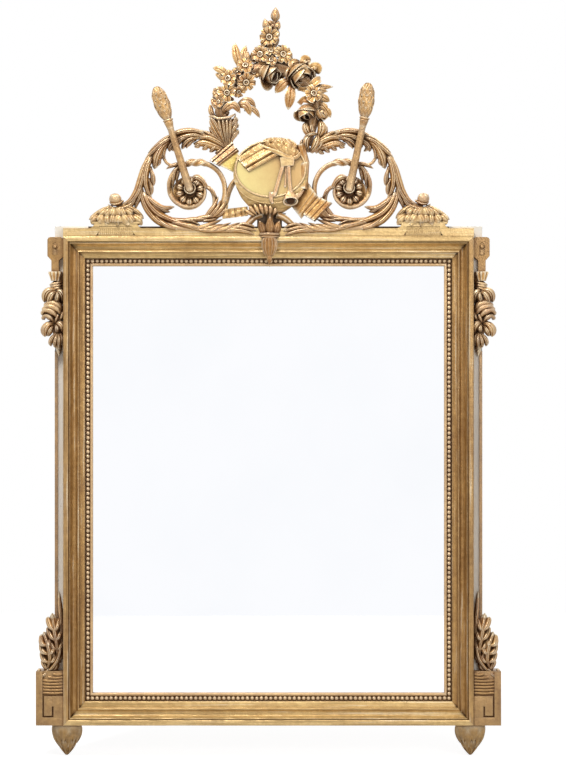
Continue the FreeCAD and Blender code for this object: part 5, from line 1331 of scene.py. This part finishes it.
# the dark pieces of painted shade, under the drum and in the horn
shade.make("painted_shade_under_drum_and_in_horn", material=SHADE)
drum_leaves.make("drum_leaves")
head.make("drum_head", ["trophy_drum"], drum_skin())
rim.make("drum_rim", ["trophy_drum"], GILT_CREAM)
books.make("book_left", ["trophy_books"], GILT_RED, crease=30)
pages.make("book_pages", ["trophy_books"], GILT_PALE, crease=30)
sheet.make("book_open", ["trophy_books"], GILT_CREAM, crease=30)
tools.make("dividers_and_horn", ["trophy_instruments"], GILT_RED)
cap.make("cap", ["trophy_cap"], GILT_CREAM, crease=70)
rolls.make("rolls", ["trophy_rolls"], crease=35)
ribbon.make("pleated_ribbon", ["trophy_rolls"], GILT_CREAM, crease=25)


# ---------------------------------------------------------------- centre pendant
def centre_pendant():
    """The bell flower that drops over the rail, and its leaves."""
    c = Carving()
    leaves(c, [([(264, 236), (262.5, 229, 3), (259.5, 221, 0)], 8, 8, 0, 26),
               ([(276, 236), (277, 229, 3), (279.5, 221, 0)], 8, 8, 0, 26),
               ([(270, 237), (270, 227, 4), (270, 216.5, 0)], 9, 9, 0, 27)], crown=3, vein=1.2, cup=2.5,
           veins=4, body=8)
    lathe(c, [(18, 0), (20.6, 1), (21, 3.4), (19.6, 5), (17, 5.4), (18.6, 6.6), (18.6, 9), (15, 10)],
          (MIDDLE, -60, 495), -UP, 60,
          0.62)
    lathe(c, [(9, 0), (13, 5), (14.4, 13), (13.6, 22), (11, 30), (7, 36), (3, 39)], (MIDDLE, -67, 486), -UP,
          72, 0.42,
          13, 0.13, 24)
    lathe(c, [(3, 0), (5, 4), (5.4, 8), (3.8, 12), (1.2, 17), (0.3, 19)], (MIDDLE, -67, 449), -UP, 20, 0.8,
          fine=20)
    return c


centre_pendant().make("centre_bellflower", ["centre_pendant"], GILT_DARK)


# ---------------------------------------------------------------- wings
def other_side(carving):
    """The same piece on the other wing."""
    return carving.moved(lambda p: p * (-1, 1, 1)).turned_round()


def flower_drop():
    """The drop below the strap: bell, open flower, bud and husks."""
    c = Carving()
    x = -427.0
    lathe(c, [(8.4, 0), (9, 3), (10.8, 9), (13.4, 15.5), (12.8, 18.6), (8, 19)], (x, -42, 400), UP, 48, 0.8,
          9, 0.13)
    ball(c, (x, -40, 391.5), 10.5, 10, 20, (1, 0.8, 0.8))
    for v in (283.4, 286.0, 288.4):
        tube(c, smooth(places([(49.6, v + 1.2, 4), (52, v + 0.6, 12), (58, v - 0.6, 13), (61.6, v - 1.4, 4)]),
                       24),
             (2.0, 2.6, 2.6, 2.0), 1.0)
    strands(c, [
        ([(56, 291, 8), (49.4, 290.6, 17), (45.4, 295, 14), (44, 302.6, 3)], 8.0),
        ([(56.6, 292, 10), (52.4, 294.4, 21), (49.6, 299.6, 17), (48.4, 304.6, 6)], 6.6),
        ([(56, 291, 8), (60.4, 292, 18), (63, 297.4, 12), (62.6, 303, 3)], 7.4),
        ([(57, 291.6, 12), (57.6, 295.6, 21), (56.4, 300, 17), (54.6, 304.4, 6)], 5.4),
    ], 0, full=0.55, crown=4.0, cup=3.4, vein=1.8, veins=3)
    ball(c, at(52.4, 313.4, 2), 15.5, 12, 20, (1.15, 0.6, 1.0))
    strands(c, [
        ([(43.6, 306.6, 6), (50.6, 302.8, 18), (58.6, 305.6, 17), (63, 312.4, 4)], 7.0),
        ([(42, 311, 6), (48.4, 306.6, 20), (56.6, 309, 21), (62, 316, 8)], 7.0),
        ([(41, 315, 5), (45.4, 310.4, 18), (52.6, 312.2, 23), (59, 319, 10)], 6.4),
        ([(41.4, 319.4, 4), (45.6, 315.6, 15), (50.6, 317.4, 18), (54.6, 323.4, 5)], 5.6),
        ([(58, 322, 5), (61.6, 316.6, 12), (62.8, 310, 6)], 5.4),
        ([(54.4, 323.6, 5), (56.6, 318.8, 16), (58.6, 314, 16)], 4.6),
    ], 0, full=0.5, crown=3.0, cup=4.6, vein=0.5, veins=3)
    strands(c, [
        ([(54.6, 323, 6), (48.8, 324.4, 15), (44.8, 329.6, 15), (44.6, 337, 3)], 8.6),
        ([(52.6, 324, 8), (46.6, 325.4, 14), (41.4, 331.4, 5)], 6.4),
        ([(53.6, 325, 6), (50.4, 330, 15), (47.4, 336.4, 6)], 6.0),
        ([(54.4, 323, 6), (59.4, 323.6, 16), (62.8, 328, 13), (61.8, 333.6, 4)], 8.2),
        ([(55, 324, 8), (57, 328, 17), (57, 333, 8)], 5.6),
        ([(57.4, 332, 6), (53, 337, 14), (50.4, 342.4, 12), (50.8, 346.4, 5)], 5.2),
        ([(57.8, 332, 8), (56, 338.6, 18), (54.8, 344.4, 15), (55.2, 348, 8)], 4.8),
        ([(58.2, 332, 8), (59.2, 338.6, 18), (59, 344.4, 15), (59.4, 348, 8)], 4.8),
        ([(58.6, 332, 6), (61.8, 337, 14), (62.6, 342.6, 11), (62.6, 346.4, 5)], 4.8),
    ], 0, full=0.6, crown=3.8, cup=3.2, vein=1.2, veins=3)
    ball(c, at(58.4, 351, 6), 4.4, 10, 14, (0.9, 1, 1.1))
    strands(c, [([(58.4, 272, 0), (55, 310, 1), (58, 338, 2), (58.4, 356.6, 0)], 13)], 0, full=0.4, vein=0)
    return other_side(c)


def wing_leaf():
    """The leaf at the wing's lower end, two ribs with lobes at both sides."""
    c = Carving()
    lobes = []
    ribs = (([(57.4, 664, 4), (57, 648, 12), (54.6, 632, 15), (51.4, 613.4, 3)],
             ((60, 60.6, 655), (53.6, 51.2, 651), (60, 61.6, 643), (52.6, 49.6, 641), (58.6, 61.0, 632),
              (51.6, 48.0, 631.4),
              (57.0, 58.8, 622), (51.0, 47.6, 621.6))),
            ([(45.4, 674, 5), (49.6, 660, 13), (48, 646, 16), (43.0, 632, 4)],
             ((54.0, 56.0, 665), (45.6, 43.0, 664), (53.0, 55.4, 656.4), (44.6, 41.6, 656),
              (52.0, 53.6, 647.4), (43.6, 40.8, 647),
              (48.6, 50.4, 640), (42.4, 40.8, 639.4))))
    for rib, tips in ribs:
        lobes.append(([(u, v, 0.4 * high) for u, v, high in rib], 11.5,
                      {"crown": 3.4, "vein": 0, "full": 0.5}))
        lobes.append((rib, 5.4, {"crown": 4.6, "vein": 1.4}))
        line = smooth(np.array(rib, float), 60)
        for k, (knee, tip, v) in enumerate(tips):
            root = line[min(int(59 * (0.10 + 0.18 * (k // 2))), 59)]
            lobes.append(([tuple(root), (knee, 0.45 * root[1] + 0.55 * (v + 3), root[2] + 2.5),
                           (tip, v - 1, 5),
                           (tip + 0.3 * np.sign(tip - root[0]), v - 4.6, 1)], 6.4))
    strands(c, lobes, 0, full=0.6, base=0.6, crown=3.6, cup=2.8, vein=1.5, blunt=0.45, ahead=3)
    strands(c, [
        ([(60.6, 655, 2), (61.4, 628, 6), (59.6, 606, 6), (58.4, 591, 0)], 5.4),
        ([(44, 673.6, 6), (52, 668, 12), (59, 656, 12), (61.8, 636, 3)], 4.4),
        ([(38.6, 669, 8), (39.6, 673.6, 14), (44, 675, 14), (49, 668.6, 8)], 4.6),
    ], 0, full=0.5, crown=3.4)
    return other_side(c)


def foot():
    """The scaled pendant foot."""
    c = Carving()
    scales(c, (404.5, -38, -489), -UP,
           [(28.6, 0), (29.2, 7), (26.8, 18), (22.4, 29), (13.6, 44), (5.8, 55), (1.6, 61)],
           3, 7, 3.6, 0.6, 0.95, 0.15)
    lathe(c, [(24, 1), (28.6, 0.5), (29.4, -1), (28.4, -2.5), (24, -4)], (404.5, -38, -489.5), UP, 32, 0.6)
    return c


def key_block():
    """The block below the wing: an outer bar, and a Greek key sunk in its face."""
    c = Carving()
    for u0, u1, v0, v1, back, front in ((36.25, 63.5, 671, 725, -7.8, -53.4),
                                        (36.25, 42.9, 671, 725, -50, -58),
                                        (42.6, 63.5, 716.8, 725, -50, -58),
                                        (53.9, 63.5, 695.6, 717.2, -50, -58),
                                        (44.5, 52.3, 695.6, 715.2, -50, -58),
                                        (52.0, 54.2, 695.6, 706, -50, -58)):
        left = corners((u0, v0), (u1, v0), (u1, v1), (u0, v1))
        slab(c, [(-x, z) for x, z in left], back, front, 0.35)
    return c


def key_reeds():
    """Reeds in the sunk part of the key block."""
    c = Carving()
    for i in range(7):
        z = -425 + i * 6.2
        left, right = (411.5, 454.5) if i < 5 else (411.5, 440 - 9 * (i - 5))
        tube(c, smooth([(left, -53.2, z + 1.2), ((left + right) / 2, -53.8, z + 0.2),
                        (right, -53.2, z + 1.8)], 24), 2.9,
             0.9, 0)
    return c


for name, half, nodes in (("flower_drop_carved", flower_drop(), ["flower_drop_"]),
                          ("wing_leaf_carved", wing_leaf(), ["wing_leaf_"]),
                          ("foot_scaled", foot(), ["pendant_foot_"]),
                          ("key_reeds", key_reeds(), []), ("key_block_carved", key_block(), ["key_block_"])):
    finish = {"foot_scaled": GILT_FOOT, "key_block_carved": GILT_FLAT, "key_reeds": GILT_FLAT}.get(name, GILT)
    half.make(name + "_right", [n + "right" for n in nodes], finish)
    other_side(half).make(name + "_left", [n + "left" for n in nodes], finish)


# ---------------------------------------------------------------- hanger rings
def ring(side):
    """A hanger ring: a bow with a bar through the knuckle."""
    c = Carving()
    x, y, z = side * 403.5, -4.0, 316.0
    bow = [(x + 14 * math.cos(a), y, z - 9 + 14 * math.sin(a)) for a in np.linspace(0, -math.pi, 25)]
    line = np.array([(x + 14, y, z - 2)] + bow + [(x - 14, y, z - 2)])
    tube(c, smooth(line, 60), 1.5, 1.0, sides=14)
    tube(c, np.array([(x - 14.8, y, z), (x - 7, y, z), (x + 7, y, z), (x + 14.8, y, z)]), 1.5, 1.0, sides=14)
    for s in (-1, 1):
        ball(c, (x + s * 14, y, z - 0.8), 1.9, 8, 12, (1, 0.9, 1.2))
    return c


ring(-1).make("ring_bow_left", ["hanger_ring_left"], IRON, "wrought_iron", "ring_left")
ring(1).make("ring_bow_right", ["hanger_ring_right"], IRON, "wrought_iron", "ring_right")


# ---------------------------------------------------------------- floor, light and camera
def wire(tree, kind, inputs=(), **settings):
    """The outputs of a new node, with a value or another node's output on each of its inputs."""
    made = tree.nodes.new(kind)
    for name, value in settings.items():
        setattr(made, name, value)
    for key, value in dict(inputs).items():
        if isinstance(value, bpy.types.NodeSocket):
            tree.links.new(value, made.inputs[key])
        else:
            made.inputs[key].default_value = value
    return made.outputs


WHITE = (1, 1, 1, 1)
FLOOR_HALF, FLOOR_GREY, FLOOR_GAP = 2.7, 0.5, 0.002
FLOOR_GLOW, FLOOR_IN_GLASS = 0.82, 0.80        # its glow to the camera, and the share of that in a reflection
SKY_LIGHT = 0.24                               # the world as light; the camera and reflections see it white


def ground():
    """The ground under the object, that only looks bright and hardly lights it."""
    s = FLOOR_HALF
    mesh = bpy.data.meshes.new("floor")
    mesh.from_pydata([(-s, -s, 0), (s, -s, 0), (s, s, 0), (-s, s, 0)], [], [(0, 1, 2, 3)])
    floor = bpy.data.objects.new("floor", mesh)
    floor.location.z = cad_low[2] - FLOOR_GAP
    bpy.context.scene.collection.objects.link(floor)
    made = bpy.data.materials.new("floor")
    made.use_nodes = True
    tree = made.node_tree
    tree.nodes.clear()
    path = wire(tree, "ShaderNodeLightPath")
    seen = wire(tree, "ShaderNodeMath",
                {0: path["Is Glossy Ray"], 1: FLOOR_IN_GLASS, 2: path["Is Camera Ray"]},
                operation="MULTIPLY_ADD")
    share = wire(tree, "ShaderNodeMath", {0: seen[0], 1: FLOOR_GLOW}, operation="MULTIPLY")
    glow = wire(tree, "ShaderNodeEmission", {"Color": WHITE, "Strength": share[0]})
    grey = wire(tree, "ShaderNodeBsdfDiffuse", {"Color": (FLOOR_GREY, FLOOR_GREY, FLOOR_GREY, 1)})
    both = wire(tree, "ShaderNodeAddShader", {0: grey[0], 1: glow[0]})
    wire(tree, "ShaderNodeOutputMaterial", {"Surface": both[0]})
    mesh.materials.append(made)


def sky():
    """White to the camera, in the glass and through it, and dim as a light."""
    world = bpy.data.worlds.new("studio")
    bpy.context.scene.world = world
    world.use_nodes = True
    tree = world.node_tree
    path = wire(tree, "ShaderNodeLightPath")
    seen = wire(tree, "ShaderNodeMath", {0: path["Is Camera Ray"], 1: path["Is Glossy Ray"]},
                operation="MAXIMUM")
    seen = wire(tree, "ShaderNodeMath", {0: seen[0], 1: path["Is Transmission Ray"]}, operation="MAXIMUM")
    level = wire(tree, "ShaderNodeMapRange", {"To Min": SKY_LIGHT, "To Max": 1.0, "Value": seen[0]})
    tree.links.new(level["Result"], tree.nodes["Background"].inputs["Strength"])
    tree.nodes["Background"].inputs["Color"].default_value = WHITE


def lamp(name, place, target, energy, size, colour=(1, 1, 1)):
    """A square lamp that faces its target."""
    data = bpy.data.lights.new(name, "AREA")
    data.energy, data.size, data.color = energy, size, colour
    made = bpy.data.objects.new(name, data)
    made.location = place
    made.rotation_euler = (Vector(target) - Vector(place)).to_track_quat("-Z", "Y").to_euler()
    bpy.context.scene.collection.objects.link(made)


ground()
sky()
lamp("key", (-0.8, -1.7, 3.1), (0, 0, 0.2), 82, 0.8, (1.0, 0.98, 0.95))
lamp("fill", (1.3, -3.2, 1.0), (0, 0, 0.1), 21, 1.2)
lamp("rim", (0.9, 1.6, 2.0), (0, 0, 0.4), 14, 1.2)

PICTURE_W, PICTURE_H = 566, 776        # the picture's size in units of the drawing
LENS, SENSOR = 100.0, 36.0
FACE = 0.05                            # metres from the wall to the plane that fills the picture
data = bpy.data.cameras.new("camera")
data.lens, data.sensor_width, data.sensor_fit = LENS, SENSOR, "AUTO"
camera = bpy.data.objects.new("camera", data)
middle = at(PICTURE_W / 2, PICTURE_H / 2) * MM
camera.location = (middle[0], -FACE - PICTURE_H * UNIT * MM * LENS / SENSOR, middle[2])
camera.rotation_euler = (math.pi / 2, 0, 0)
bpy.context.scene.collection.objects.link(camera)
bpy.context.scene.camera = camera

bpy.context.scene.view_settings.view_transform = "Standard"
